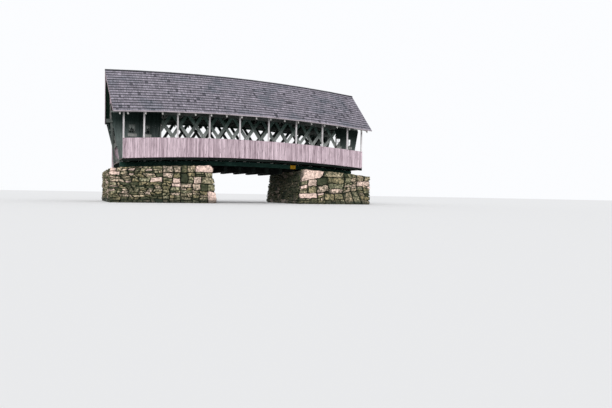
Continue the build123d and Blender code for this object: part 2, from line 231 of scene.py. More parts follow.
# %% [markdown]
# ## Grain
# Wood that has stood in the rain for decades has long silver and dark streaks along its
# grain, and fine drying cracks. Both are noise that is stretched along one direction. A crack
# is where such noise passes through its middle value. The Wave texture makes bands too, but
# they are even, as in new wood. The group takes coordinates whose Z runs along the grain, so
# one group serves posts, beams and planks of every direction.

# %% Grain group
CRACK_WIDTH = 0.02          # as a share of the noise's range

grain_group, g_in, g_out = new_group(
    "Weathered grain", {"Vector": "Vector", "Fineness": "Float", "Stretch": "Float"},
    {"Grain": "Float", "Cracks": "Float"})
fineness = g_in.outputs["Fineness"]
flat = node(grain_group, "CombineXYZ", {0: 1.0, 1: 1.0, 2: g_in.outputs["Stretch"]}).outputs[0]
along = node(grain_group, "VectorMath", {0: g_in.outputs["Vector"], 1: flat}, operation="MULTIPLY").outputs[0]
streaks = noise(grain_group, along, fineness, Detail=5.0, Roughness=0.65)
splits = noise(grain_group, along, calc(grain_group, "MULTIPLY", fineness, 0.6), Detail=2.0, Distortion=0.4)
off_line = calc(grain_group, "ABSOLUTE", calc(grain_group, "SUBTRACT", splits, 0.5))
grain_group.links.new(remap(grain_group, streaks, 0.3, 0.7), g_out.inputs["Grain"])
grain_group.links.new(remap(grain_group, off_line, 0.0, CRACK_WIDTH, 1.0, 0.0), g_out.inputs["Cracks"])
print("grain group:", len(grain_group.nodes), "nodes")

# %% [markdown]
# ## Blotches
# Damp, moss and sun leave patches that ignore the joints between boards and stones. The
# second group makes such a mask at any size, and lets them cover a larger or smaller share. It
# could be painted by hand, but then each of the thousand boards would need its own painting.

# %% Blotch group
BLOTCH_EDGE = 0.14          # how soft a patch's edge is, as a share of the noise's range

blotch_group, b_in, b_out = new_group(
    "Blotches", {"Vector": "Vector", "Size": "Float", "Share": "Float"}, {"Mask": "Float"})
per_metre = calc(blotch_group, "DIVIDE", 1.0, b_in.outputs["Size"])
cloud = noise(blotch_group, b_in.outputs["Vector"], per_metre, Detail=6.0, Roughness=0.6)
edge = calc(blotch_group, "SUBTRACT", 0.72, calc(blotch_group, "MULTIPLY", b_in.outputs["Share"], 0.45))
upper_edge = calc(blotch_group, "ADD", edge, BLOTCH_EDGE)
blotch_group.links.new(remap(blotch_group, cloud, edge, upper_edge), b_out.inputs["Mask"])
print("blotch group:", len(blotch_group.nodes), "nodes")

# %% [markdown]
# ## What all materials share
# Each material reads its place from Object coordinates, so its pattern stays on the bridge
# wherever that stands. It starts from one shader with the faint gloss of weathered wood and
# stone, and ends by linking a colour, a roughness and a bump to it.

# %% Material helpers
FAINT_GLOSS = 0.12
BUMP_STRENGTH = 0.7


def grouped(tree, group, inputs):
    """Places a group in a tree and fills its sockets."""
    return node(tree, "Group", inputs, node_tree=group).outputs


def new_material(name):
    """A material, its tree, its shader and the place that its pattern reads."""
    material = bpy.data.materials.new(name)
    material.use_nodes = True
    tree = material.node_tree
    shader = tree.nodes["Principled BSDF"]
    shader.inputs["Specular IOR Level"].default_value = FAINT_GLOSS
    place = node(tree, "TexCoord", {}).outputs["Object"]
    return material, tree, shader, place


def facing(tree, axis):
    """How much the surface faces along an axis, from -1 to 1."""
    return part_of(tree, tree.nodes["Texture Coordinate"].outputs["Normal"], axis)


def finish_shader(tree, shader, colour, roughness, height, depth):
    """Links a colour, a roughness and a bump of some depth in metres to the shader."""
    bump = node(tree, "Bump", {"Height": height, "Distance": depth, "Strength": BUMP_STRENGTH})
    tree.links.new(colour, shader.inputs["Base Color"])
    tree.links.new(roughness, shader.inputs["Roughness"])
    tree.links.new(bump.outputs["Normal"], shader.inputs["Normal"])


print("gloss of every finish that doesn't name its own:", FAINT_GLOSS)

# %% [markdown]
# ## Weathered wood
# Every timber on the bridge is bare wood, so one recipe makes them all: a dark and a light
# shade, mixed by the grain and by the piece's tone, with cracks and damp patches on top. What
# differs is the shades, the direction of the grain, and whether the tone is stored on the
# piece or, on a long timber, taken from slow noise. Under the roof, some wood gets painted
# light and shade: it is painted brighter low down, and darker and greener higher up, where
# the shade of the eaves falls.

# %% Wood recipe
GRAIN_ALONG = {"x": (0, math.radians(90), 0), "y": (math.radians(90), 0, 0), "z": (0, 0, 0)}
GRAIN_STRETCH = 0.06        # a streak is as wide as this share of its length
DAMP_SIZE = 0.5             # metres
DAMP_STRENGTH = 0.6
CRACK_STRENGTH = 0.55
CRACK_SHADE = 0.25          # a crack's shade, as a share of the wood's dark one
END_GRAIN = (0.006, 0.009, 0.008, 1)
WOOD_BUMP = 0.002           # metres


def painted_eave_light_and_shade(tree, colour, place, foot, head, at_foot, at_head, shade_green=0.0):
    """Painted light and shade on wood under a roof: its brightness at two heights, and a green tint of
    painted shade at its head.
    """
    up = remap(tree, part_of(tree, place, "Z"), foot, head)
    below = (at_foot, at_foot, at_foot, 1)
    above = (at_head * (1 - 0.3 * shade_green), at_head * (1 + 0.1 * shade_green), at_head, 1)
    return mix(tree, 1.0, colour, mix(tree, up, below, above), "MULTIPLY")


def wood(name, dark, light, stain, along="z", laid=False, fineness=16.0, damp=0.35, contrast=0.5,
         eave_light_and_shade=None, gloss=FAINT_GLOSS, dark_ends=False):
    """Bare wood. laid: the piece was laid from copies that carry a tone. eave_light_and_shade: its painted
    light and shade under the roof.
    """
    material, tree, shader, place = new_material(name)
    shader.inputs["Specular IOR Level"].default_value = gloss
    lined = node(tree, "Mapping", {"Vector": place, "Rotation": GRAIN_ALONG[along]}).outputs[0]
    grain = grouped(tree, grain_group, {"Vector": lined, "Fineness": fineness, "Stretch": GRAIN_STRETCH})
    tone = stored(tree, "tone") if laid else remap(tree, noise(tree, place, 0.9), 0.35, 0.65)
    colour = mix(tree, weighted(tree, grain["Grain"], tone, contrast), dark, light)
    patch = grouped(tree, blotch_group, {"Vector": lined, "Size": DAMP_SIZE, "Share": damp})["Mask"]
    colour = mix(tree, calc(tree, "MULTIPLY", patch, DAMP_STRENGTH), colour, stain)
    crack = calc(tree, "MULTIPLY", grain["Cracks"], CRACK_STRENGTH)
    colour = mix(tree, crack, colour, [CRACK_SHADE * part for part in dark[:3]] + [1])
    # Painted light and shade under the roof: brighter low down, darker and greener higher up.
    if eave_light_and_shade:
        colour = painted_eave_light_and_shade(tree, colour, place, *eave_light_and_shade)
    if dark_ends:
        end_face = remap(tree, calc(tree, "ABSOLUTE", facing(tree, along.upper())), 0.5, 0.8)
        colour = mix(tree, end_face, colour, END_GRAIN)
    height = calc(tree, "SUBTRACT", grain["Grain"], grain["Cracks"])
    finish_shader(tree, shader, colour, remap(tree, grain["Grain"], 0, 1, 0.92, 0.74), height, WOOD_BUMP)
    return material


print("a crack is", CRACK_SHADE, "times as bright as the dark shade around it")

# %% [markdown]
# Three shades make one wood: dark, light and the stain of damp. The lower chords and the
# undersides are painted dark with a green tint, as painted shade under the walkway and the
# roof, the parapet has bleached to a pale silver with a little red in it, and the beams under
# the floors are painted nearly black, a dark stain with painted shade on top. The painted
# light and shade under the eaves gives two heights and the brightness at each, and how green
# the painted shade at the upper one is.

# %% Woods of the bridge
shades = {
    "truss": ((0.045, 0.055, 0.051, 1), (0.230, 0.255, 0.238, 1), (0.07, 0.09, 0.07, 1)),
    # The chord shades are painted shade under the walkway, dark with a green tint.
    "chord": ((0.007, 0.030, 0.024, 1), (0.045, 0.112, 0.090, 1), (0.03, 0.055, 0.038, 1)),
    # The beam shades are a dark stain with painted shade under the floors.
    "beam": ((0.004, 0.006, 0.006, 1), (0.018, 0.024, 0.021, 1), (0.012, 0.018, 0.012, 1)),
    "pale": ((0.20, 0.13, 0.16, 1), (1.0, 0.81, 0.885, 1), (0.38, 0.29, 0.31, 1)),
    "post": ((0.50, 0.47, 0.48, 1), (0.92, 0.88, 0.89, 1), (0.42, 0.42, 0.39, 1)),
    "tail": ((0.24, 0.235, 0.225, 1), (0.60, 0.58, 0.56, 1), (0.22, 0.22, 0.20, 1)),
    "deck": ((0.12, 0.105, 0.10, 1), (0.34, 0.30, 0.28, 1), (0.09, 0.09, 0.075, 1)),
    "panel": ((0.030, 0.050, 0.047, 1), (0.19, 0.225, 0.213, 1), (0.07, 0.10, 0.085, 1)),
    # The soffit shades are painted shade under the roof, dark with a green tint.
    "soffit": ((0.006, 0.024, 0.014, 1), (0.026, 0.076, 0.050, 1), (0.015, 0.040, 0.025, 1)),
}
trim_shades = ((0.20, 0.21, 0.20, 1), (0.52, 0.52, 0.49, 1), (0.17, 0.19, 0.16, 1))
ridge_shades = ((0.035, 0.037, 0.042, 1), (0.15, 0.148, 0.165, 1), (0.05, 0.06, 0.055, 1))
eave_shades = ((0.22, 0.19, 0.21, 1), (0.60, 0.53, 0.57, 1), (0.25, 0.24, 0.24, 1))
truss_long = wood("truss_timber_lengthwise", *shades["truss"], along="x")
chord_long = wood("chord_timber_lengthwise", *shades["chord"], along="x")
truss_upright = wood("truss_timber_upright", *shades["truss"], along="z")
beam_across = wood("beam_timber_across", *shades["beam"], along="y", gloss=0.03)
beam_long = wood("beam_timber_lengthwise", *shades["beam"], along="x", gloss=0.03)
pale_boards = wood("pale_upright_boards", *shades["pale"], along="z", laid=True, fineness=13, damp=0.25,
                   contrast=0.62)
pale_long = wood("pale_timber_lengthwise", *shades["pale"], along="x")
pale_across = wood("rake_board_timber", *shades["pale"], along="y")
# The posts are painted darker towards their tops, as painted shade under the eaves.
post_wood = wood("post_timber", *shades["post"], along="z", eave_light_and_shade=(5.0, 6.7, 1.1, 0.75))
tail_wood = wood("rafter_timber", *shades["tail"], along="y")
deck_planks = wood("deck_planks", *shades["deck"], along="y", laid=True, gloss=0.05, dark_ends=True)
# The end bays' boards are painted dark and green towards their tops, as painted shade under the eaves.
panel_boards = wood("panel_boards", *shades["panel"], along="z", laid=True, contrast=0.45,
                    eave_light_and_shade=(4.7, 6.2, 1.15, 0.15, 1.0))
roof_boards = wood("roof_boards", *shades["soffit"], along="x", laid=True)
eave_wood = wood("eave_boards", *eave_shades, along="x", laid=True)
print("woods:", ", ".join(sorted(shades)), "and those of the trim, ridge and eaves")

# %% [markdown]
# ## Lattice planks
# The web of each truss is two layers of planks that lean opposite ways, so the grain has two
# directions. Which one a point belongs to follows from the side of the truss's middle plane
# that it is on. Both leans are made, and the layer picks one of them. The planks are painted
# brighter low down and darker higher up, as painted light and shade under the eaves, and only
# the outer face keeps that painted light: every other face is painted darker.

# %% Lattice material
CROSSING_PITCH = 0.88       # height between rows of crossings
PLANK_LEAN = math.atan2(STATION / 2, CROSSING_PITCH)
PLANK_SPACING = STATION * CROSSING_PITCH / math.hypot(STATION / 2, CROSSING_PITCH)
LATTICE_SHADES = ((0.105, 0.12, 0.113, 1), (0.54, 0.56, 0.535, 1), (0.155, 0.18, 0.16, 1))
# painted light at the foot, and painted shade with a green tint under the eaves
LATTICE_EAVE_LIGHT_AND_SHADE = (5.2, 6.5, 1.75, 0.35, 1.0)
INNER_FACE_PAINTED_SHADE = 0.42            # painted shade: an inner face's brightness, as a share of the outer face's


def lattice_wood(name, middle_y, outward):
    """Planks that lean one way on this side of a plane and the other way beyond it.

    outward is the direction along Y of the face that keeps the painted light. The nearer it is to 1 or -1,
    the paler that face is painted.
    """
    dark, light, stain = LATTICE_SHADES
    material, tree, shader, place = new_material(name)
    near = node(tree, "Mapping", {"Vector": place, "Rotation": (0, PLANK_LEAN, 0)}).outputs[0]
    far = node(tree, "Mapping", {"Vector": place, "Rotation": (0, -PLANK_LEAN, 0)}).outputs[0]
    beyond = calc(tree, "GREATER_THAN", part_of(tree, place, "Y"), middle_y)
    lined = node(tree, "Mix", {0: beyond, 4: near, 5: far}, data_type="VECTOR").outputs[1]
    grain = grouped(tree, grain_group, {"Vector": lined, "Fineness": 18.0, "Stretch": 0.05})
    plank = calc(tree, "FLOOR", calc(tree, "DIVIDE", part_of(tree, lined, "X"), PLANK_SPACING))
    tone = node(tree, "TexWhiteNoise", {"W": plank}, noise_dimensions="1D").outputs["Value"]
    colour = mix(tree, weighted(tree, grain["Grain"], tone, 0.55), dark, light)
    patch = grouped(tree, blotch_group, {"Vector": place, "Size": 0.6, "Share": 0.4})["Mask"]
    colour = mix(tree, calc(tree, "MULTIPLY", patch, 0.5), colour, stain)
    colour = painted_eave_light_and_shade(tree, colour, place, *LATTICE_EAVE_LIGHT_AND_SHADE)
    # Painted shade on every face but the outer one.
    outer_face = calc(tree, "MULTIPLY", facing(tree, "Y"), outward)
    colour = mix(tree, 1.0, colour, remap(tree, outer_face, 0.2, 0.8, INNER_FACE_PAINTED_SHADE, 1.0), "MULTIPLY")
    height = calc(tree, "SUBTRACT", grain["Grain"], grain["Cracks"])
    finish_shader(tree, shader, colour, remap(tree, grain["Grain"], 0, 1, 0.92, 0.76), height, WOOD_BUMP)
    return material


truss_y = {side: [corner.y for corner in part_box(f"{side}_truss_lattice")] for side in ("near", "far")}
near_lattice_wood = lattice_wood("near_lattice_planks", sum(truss_y["near"]) / 2, -1)
far_lattice_wood = lattice_wood("far_lattice_planks", sum(truss_y["far"]) / 2, 0.6)
print("lattice planks are", round(PLANK_SPACING, 3), "m apart")

# %% [markdown]
# ## Shingles
# A shingle is painted darkest just under the one above it, as damp and as painted shadow of
# that butt, and palest at its butt. Stripes drawn over the whole slope would soon miss the
# courses, so each shingle stores how far down it a point is, and the material follows that.
# Slow blue-grey blotches run over many shingles at once.

# %% Shingle material
SHINGLE_DARK, SHINGLE_LIGHT = (0.026, 0.026, 0.035, 1), (0.52, 0.475, 0.555, 1)
SHINGLE_BLOTCH, SHINGLE_DAMP_AND_SHADOW = (0.12, 0.15, 0.18, 1), (0.016, 0.018, 0.023, 1)
DAMP_AND_SHADOW_BAND = (0.57, 0.745)   # how far down a shingle the damp and painted shadow are full, and where they end

shingle_finish, tree, shader, place = new_material("roof_shingles")
lined = node(tree, "Mapping", {"Vector": place, "Rotation": GRAIN_ALONG["y"]}).outputs[0]
grain = grouped(tree, grain_group, {"Vector": lined, "Fineness": 30.0, "Stretch": 0.12})["Grain"]
tone = stored(tree, "tone")
colour = mix(tree, weighted(tree, grain, tone, 0.35), SHINGLE_DARK, SHINGLE_LIGHT)
patch = grouped(tree, blotch_group, {"Vector": place, "Size": 1.6, "Share": 0.5})["Mask"]
colour = mix(tree, calc(tree, "MULTIPLY", patch, 0.45), colour, SHINGLE_BLOTCH)
# Damp and painted shadow under the butt of the course above.
damp = remap(tree, stored(tree, "down"), *DAMP_AND_SHADOW_BAND, 1.0, 0.0)
colour = mix(tree, damp, colour, SHINGLE_DAMP_AND_SHADOW)
finish_shader(tree, shader, colour, remap(tree, tone, 0, 1, 0.95, 0.8), grain, 0.003)
ridge_finish = wood("ridge_boards", *ridge_shades, along="x", laid=True)
print("shingle material:", len(tree.nodes), "nodes")

# %% [markdown]
# ## Stone
# Each stone takes one rock from a row of them, by its tone. Over that come speckles, dark pits,
# moss in patches, moss with painted shade along the joints, the wet of the foot, and painted
# shade on the faces under the bridge, which darken all stones together. The palest stones are
# the great squared blocks: they are dressed, so they have few pits and little moss or joint
# shade. A material for each rock would do as well, but with one ramp the whole wall stays one
# piece with one material.

# %% Stone material
SPAN_MIDDLE = (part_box("left_abutment")[1].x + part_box("right_abutment")[0].x) / 2
WET_AND_SHADED_STONE = (0.022, 0.032, 0.022, 1)
MOSS_AND_JOINT_SHADE = (0.034, 0.046, 0.024, 1)
PIT = (0.052, 0.064, 0.036, 1)
ROCKS = [                   # tone and colour. A ramp is made with two ends, so they come first
    (0.0, (0.035, 0.045, 0.028, 1)), (1.0, (1.0, 0.74, 0.65, 1)), (0.15, (0.15, 0.145, 0.085, 1)),
    (0.36, (0.48, 0.385, 0.22, 1)), (0.52, (0.44, 0.41, 0.265, 1)), (0.68, (0.66, 0.52, 0.36, 1)),
    (0.86, (0.86, 0.66, 0.54, 1))]

fieldstone, tree, shader, place = new_material("fieldstone")
tone = stored(tree, "tone")
rocks = node(tree, "ValToRGB", {0: tone})
for k, (position, rock) in enumerate(ROCKS):
    stop = rocks.color_ramp.elements[k] if k < 2 else rocks.color_ramp.elements.new(position)
    stop.position, stop.color = position, rock
speckles = remap(tree, noise(tree, place, 5.5, Detail=5.0, Roughness=0.75), 0.34, 0.66, 0.35, 1.6)
colour = mix(tree, 1.0, rocks.outputs[0], speckles, "MULTIPLY")
pits = remap(tree, noise(tree, place, 8.0, Detail=3.0, Roughness=0.6), 0.44, 0.54, 0.85, 0.0)
pits = calc(tree, "MULTIPLY", pits, remap(tree, tone, 0.86, 0.93, 1, 0.15))
colour = mix(tree, pits, colour, PIT)
patch = grouped(tree, blotch_group, {"Vector": place, "Size": 0.3, "Share": 0.55})["Mask"]
wander = noise(tree, place, 2.5, Detail=3.0)
# Moss and painted shade in the joints: each stone is painted darker and greener towards its rim.
joint_moss_and_shade = remap(tree, calc(tree, "ADD", stored(tree, "rim"), wander), 0.95, 1.4)
moss_and_joint_shade = calc(tree, "MAXIMUM", calc(tree, "MULTIPLY", patch, 0.6), calc(tree, "MULTIPLY", joint_moss_and_shade, 0.85))
moss_and_joint_shade = calc(tree, "MULTIPLY", moss_and_joint_shade, remap(tree, tone, 0.8, 0.92, 1.0, 0.3))
colour = mix(tree, moss_and_joint_shade, colour, MOSS_AND_JOINT_SHADE)
# Painted shade: faces turned towards the span's middle, under the bridge, are darkened.
from_middle = calc(tree, "SUBTRACT", SPAN_MIDDLE, part_of(tree, place, "X"))
shaded = remap(tree, calc(tree, "MULTIPLY", facing(tree, "X"), from_middle), 1.0, 2.6, 0.0, 0.8)
level = calc(tree, "SUBTRACT", part_of(tree, place, "Z"), calc(tree, "MULTIPLY", wander, 0.3))
wet = remap(tree, level, 0.03, 0.3, 0.8, 0.0)
colour = mix(tree, calc(tree, "MAXIMUM", shaded, wet), colour, WET_AND_SHADED_STONE)
rough = noise(tree, place, 24.0, Detail=6.0)
finish_shader(tree, shader, colour, remap(tree, wet, 0, 0.8, 0.9, 0.55), rough, 0.012)
print("stone material:", len(tree.nodes), "nodes")

# %% [markdown]
# ## Earth, iron and enamel
# What fills the joints behind the stones, the bolts and the small plate are each one colour
# with blotches of a second one. None of them is large enough to show more.

# %% Plain materials
def plain_finish(name, base, patch_colour, metallic, roughness, depth, gloss=0.5):
    """A plain surface with blotches. They are rougher than what they lie on."""
    material, tree, shader, place = new_material(name)
    patch = grouped(tree, blotch_group, {"Vector": place, "Size": 0.12, "Share": 0.45})["Mask"]
    colour = mix(tree, patch, base, patch_colour)
    shader.inputs["Metallic"].default_value = metallic
    shader.inputs["Specular IOR Level"].default_value = gloss
    rough = remap(tree, patch, 0, 1, roughness, min(1, roughness + 0.25))
    finish_shader(tree, shader, colour, rough, patch, depth)
    return material


packed_earth = plain_finish("packed_earth", (0.016, 0.019, 0.013, 1), (0.035, 0.045, 0.024, 1),
                            metallic=0.0, roughness=0.95, depth=0.01, gloss=0.1)
rusty_iron = plain_finish("rusty_iron", (0.035, 0.03, 0.027, 1), (0.10, 0.045, 0.022, 1),
                          metallic=0.3, roughness=0.65, depth=0.001, gloss=0.2)
enamel = plain_finish("orange_enamel", (1.0, 0.54, 0.006, 1), (1.0, 0.44, 0.006, 1),
                      metallic=0.0, roughness=0.4, depth=0.0003)
print("plain materials:", packed_earth.name, rusty_iron.name, enamel.name)

# %% [markdown]
# ## Timbers that stay as they are
# The frame's beams, chords, posts and rafters already have their real shape. They only need
# a material whose grain runs the right way.

# %% Materials on the frame's own timbers
dark_across = wood("roof_timber_across", *shades["truss"], along="y")
timber_finishes = {
    truss_long: ["near_truss_upper_chord", "far_truss_upper_chord", "far_boarding_rail", "near_panel_girts",
                 "far_panel_girts", "walkway_plate"],
    chord_long: ["near_truss_lower_chord", "far_truss_lower_chord"],
    truss_upright: ["near_truss_end_posts", "far_truss_end_posts", "window_frames"],
    beam_across: ["floor_beams", "bearing_timbers", "walkway_joists"],
    beam_long: ["road_stringers", "walkway_edge_beam", "ridge_board"],
    near_lattice_wood: ["near_truss_lattice"],
    far_lattice_wood: ["far_truss_lattice"],
    post_wood: ["walkway_posts"],
    pale_long: ["parapet_rails"],
    pale_across: ["rake_boards"],
    tail_wood: ["near_rafters", "far_rafters"],
    enamel: ["sign_plate"],
    dark_across: ["tie_beams", "portal_collars"],
}
for material, names in timber_finishes.items():
    for name in names:
        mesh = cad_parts[name].data
        mesh.materials.clear()
        mesh.materials.append(material)
print("frame nodes dressed:", sum(map(len, timber_finishes.values())))

# %% [markdown]
# ## The roof
# Long split shingles lie in courses, each overlapping the one below, on boards nailed across
# the rafters. One shingle is a wedge, thick at its butt. It is modelled flat, tipped so that
# its butt rests on the course below, and laid shingle by shingle in random widths, with
# staggered joints. The far slope is laid in the same way and turned half round.

# %% One shingle
COURSES = 16
SHINGLE_LENGTH = 0.72
BUTT = 0.02                 # thickness of a shingle's lower end
HEAD_SHARE = 0.3            # its upper end is this much of that
TOP_COURSE_SHORT = 0.012    # what the top course leaves free at the ridge
ROOF_PITCH = math.radians(41.6)
eave = roof_low.y
ridge_level = roof_high.z
slope_length = -eave / math.cos(ROOF_PITCH)
course_step = slope_length / COURSES

shingle = sawn_block("shingle_master", (1, SHINGLE_LENGTH, BUTT), 0.004)
for vertex in shingle.data.vertices:
    vertex.select = vertex.co.y > 0
bpy.ops.object.mode_set(mode="EDIT")
bpy.ops.transform.resize(value=(1, 1, HEAD_SHARE), center_override=(0, 0, -BUTT / 2))
bpy.ops.object.mode_set(mode="OBJECT")
down = shingle.data.attributes.new("down", "FLOAT", "POINT")
down.data.foreach_set("value", [0.5 - v.co.y / SHINGLE_LENGTH for v in shingle.data.vertices])
tip = math.atan2(BUTT * (1 - (1 - HEAD_SHARE) * course_step / SHINGLE_LENGTH), course_step)
shingle.data.transform(Matrix.Translation((0, SHINGLE_LENGTH / 2, -BUTT / 2)))
top_shingle = bpy.data.objects.new("top_shingle_master", shingle.data.copy())
for vertex in top_shingle.data.vertices:
    vertex.co.y = min(vertex.co.y, course_step - TOP_COURSE_SHORT)
top_shingle.data.attributes["down"].data.foreach_set(
    "value", [1 - v.co.y / SHINGLE_LENGTH for v in top_shingle.data.vertices])
for master in (shingle, top_shingle):
    master.data.transform(Matrix.Rotation(-tip, 4, "X"))
print("a course shows", round(course_step, 3), "m of each shingle")

# %% [markdown]
# The courses are laid in random widths, so that joints seldom line up, and every shingle is a
# little askew, as when it is nailed by hand. A few are nearly black. The top course is a
# shorter shingle, cut off at the ridge. The slopes end square to the camber, so a course near
# the ridge is a little longer than one at the eaves.

# %% Courses of shingles
SHINGLE_WIDTHS = (0.1, 0.26)
NARROWEST = 0.08            # a narrower rest is added to the last shingle of a course
COURSE_FULL = 0.02          # metres that may be left at a course's end
SHINGLE_GAPS = (0.005, 0.02)
BLACK_SHARE = 0.035         # of all shingles
TONE_MEAN, TONE_SPREAD = 0.58, 0.13
COURSE_TONE = 0.05          # a whole course may be this much paler or darker
SLIP = 0.008                # metres up or down
ASKEW = 0.012               # radians to either side
RAISED = (-0.008, 0.003)    # radians, in how far a butt lies off the course below


def on_slope(x, down_slope, lift):
    """The matrix that puts a piece on the near slope, square to it, at a distance from the ridge."""
    y = -down_slope * math.cos(ROOF_PITCH) - lift * math.sin(ROOF_PITCH)
    z = ridge_level - down_slope * math.sin(ROOF_PITCH) + lift * math.cos(ROOF_PITCH)
    return turned(angle_at(x, z)) @ Matrix.Translation((0, y, z)) @ Matrix.Rotation(ROOF_PITCH, 4, "X")


def roof_end(down_slope):
    """Half the roof's length at a distance from the ridge."""
    tilt = angle_at(roof_high.x, ridge_level)
    return math.sin(tilt) * (ridge_level - down_slope * math.sin(ROOF_PITCH) - camber_centre)


def hand_laid_tone(chance, course_tone):
    """A shingle's tone: nearly black now and then, and else near its course's."""
    if chance.random() < BLACK_SHARE:
        return 0
    return min(1, max(0, chance.gauss(TONE_MEAN, TONE_SPREAD) + course_tone))


def shingle_places(courses, chance):
    """Matrices and tones of the shingles in some courses of the near slope, counted from the ridge."""
    places = []
    for course in courses:
        butt = course * course_step
        end = roof_end(butt)
        course_tone = chance.uniform(-COURSE_TONE, COURSE_TONE)
        x = -end
        while x < end - COURSE_FULL:
            width = min(chance.uniform(*SHINGLE_WIDTHS), end - x)
            if end - x - width < NARROWEST:
                width = end - x
            slip = chance.uniform(-SLIP, SLIP) if course < COURSES else 0
            skew = Matrix.Rotation(chance.uniform(-ASKEW, ASKEW), 4, "Z")
            scale = Matrix.Diagonal((width - chance.uniform(*SHINGLE_GAPS), 1, 1, 1))
            lift = Matrix.Rotation(chance.uniform(*RAISED), 4, "X")
            tone = hand_laid_tone(chance, course_tone)
            places.append((on_slope(x + width / 2, butt + slip, 0) @ skew @ lift @ scale, tone))
            x += width
    return places


half_turn = Matrix.Rotation(math.pi, 4, "Z")


def far_side(places):
    """Places on the near slope turned half round to the far one."""
    return [(half_turn @ matrix, tone) for matrix, tone in places]


lower = range(2, COURSES + 1)
near_shingles = lay("near_shingles", [shingle], shingle_places(lower, random.Random(11)))
near_top = lay("near_top_course", [top_shingle], shingle_places([1], random.Random(13)))
far_shingles = lay("far_shingles", [shingle], far_side(shingle_places(lower, random.Random(12))))
far_top = lay("far_top_course", [top_shingle], far_side(shingle_places([1], random.Random(14))))
for piece in (near_shingles, near_top, far_shingles, far_top):
    dress(piece, shingle_finish)

# %% [markdown]
# Under the shingles are roof boards as long as two bays of rafters, butted end to end. From
# below, and under the overhanging ends, they are what shows of the roof. The first board of a
# row is one bay or two in turn, so that joints in neighbouring rows lie on different rafters.

# %% Roof boards
ROOF_THICKNESS = 0.06       # from the roof's outer face down to the rafters
SHEATHING = 0.026           # thickness of a roof board
SHEATHING_ROWS = 28
END_GAP = 0.003             # between roof boards end to end
SIDE_GAP = 0.004            # and between two rows of them
ROW_FULL = 0.01             # metres that may be left at a row's end
row_width = slope_length / SHEATHING_ROWS
roof_board = sawn_block("roof_board_master", (1, 1, SHEATHING), 0.002)


def butted(half, length, first=None):
    """Middles and lengths of boards butted end to end from -half to half."""
    x = -half
    board = first or length
    while x < half - ROW_FULL:
        board = min(board, half - x)
        yield x + board / 2, board
        x += board
        board = length


def sheathing_places(chance):
    """Roof boards on the near slope, with joints that change from row to row."""
    places = []
    for row in range(SHEATHING_ROWS):
        down_slope = (row + 0.5) * row_width
        for x, length in butted(roof_end(down_slope), 2 * STATION, STATION * (1 + row % 2)):
            matrix = on_slope(x, down_slope, SHEATHING / 2 - ROOF_THICKNESS)
            scale = Matrix.Diagonal((length - END_GAP, row_width - SIDE_GAP, 1, 1))
            places.append((matrix @ scale, chance.random()))
    return places


near_sheathing = lay("near_roof_boards", [roof_board], sheathing_places(random.Random(21)))
far_sheathing = lay("far_roof_boards", [roof_board], far_side(sheathing_places(random.Random(22))))
dress(near_sheathing, roof_boards)
dress(far_sheathing, roof_boards)
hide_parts("near_roof")
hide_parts("far_roof")

# %% [markdown]
# A narrow upright board closes the edge of the roof boards along each eave. One board of the
# roof's length would have to be bent, so it is a row of straight ones, each turned with the
# camber and copied half round to the far eave.

# %% Eave boards
EAVE_BOARD = (0.022, 0.085)     # thickness and height
EAVE_INSET = 0.005          # from the slope's edge back to the board's middle
EAVE_DROP = 0.0625          # and down to it
LONG_BOARD_GAP = 0.004      # between boards end to end
eave_board = sawn_block("eave_board_master", (1, *EAVE_BOARD), 0.003)
eave_places = []
chance = random.Random(25)
eave_level = ridge_level - slope_length * math.sin(ROOF_PITCH)
for x, length in butted(roof_end(slope_length), 3 * STATION):
    place = Matrix.Translation((0, eave + EAVE_INSET, eave_level - EAVE_DROP))
    scale = Matrix.Diagonal((length - LONG_BOARD_GAP, 1, 1, 1))
    matrix = turned(angle_at(x, eave_level)) @ place @ scale
    eave_places += [(matrix, chance.uniform(0.5, 1)), (half_turn @ matrix, chance.uniform(0.5, 1))]
eave_boards = lay("eave_boards", [eave_board], eave_places)
dress(eave_boards, eave_wood)

# %% [markdown]
# Two rows of boards cover the top courses and meet over the ridge. Each row runs on past the
# ridge line by as much as a mitre needs, so that the boards close on each other with no notch
# between them.

# %% Ridge boards
RIDGE_WIDTH = 0.15
RIDGE_BOARD = 0.03
MITRE = RIDGE_BOARD * math.tan(ROOF_PITCH)
ridge_master = sawn_block("ridge_board_master", (1, RIDGE_WIDTH, RIDGE_BOARD), 0.004)
ridge_places = []
chance = random.Random(31)
for x, length in butted(roof_end(0), 2 * STATION):
    place = on_slope(x, RIDGE_WIDTH / 2 - MITRE, RIDGE_BOARD / 2)
    matrix = place @ Matrix.Diagonal((length - LONG_BOARD_GAP, 1, 1, 1))
    ridge_places += [(matrix, chance.random()), (half_turn @ matrix, chance.random())]
ridge_boards = lay("ridge_cap_boards", [ridge_master], ridge_places)
dress(ridge_boards, ridge_finish)
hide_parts("ridge_cap")
put_away(shingle, top_shingle, roof_board, ridge_master, eave_board)

# %% [markdown]
# ## Upright boards
# The parapet and the low boarding of the far truss are upright boards of mixed widths with
# narrow gaps. Lines drawn on one sheet would look the same from far off, but not from the side
# or from above. So they stand side by side, plumb, each one lowered to the camber, and none is
# quite flush with the next.

# %% Rows of boards
BOARD_GAP = 0.004           # between upright boards
UNEVEN = 0.002              # metres that a board may stand proud or back
CUT_BY_HAND = (-0.004, 0.002)   # how much longer a board may be, as a share of its length


def board_row(start, end, widths, gap, chance):
    """Centres and widths of boards that fill a length."""
    boards = []
    x = start
    while x < end - ROW_FULL:
        width = min(chance.uniform(*widths), end - x)
        if end - x - width < widths[0] / 2:
            width = end - x
        boards.append((x + width / 2, width - gap))
        x += width
    return boards


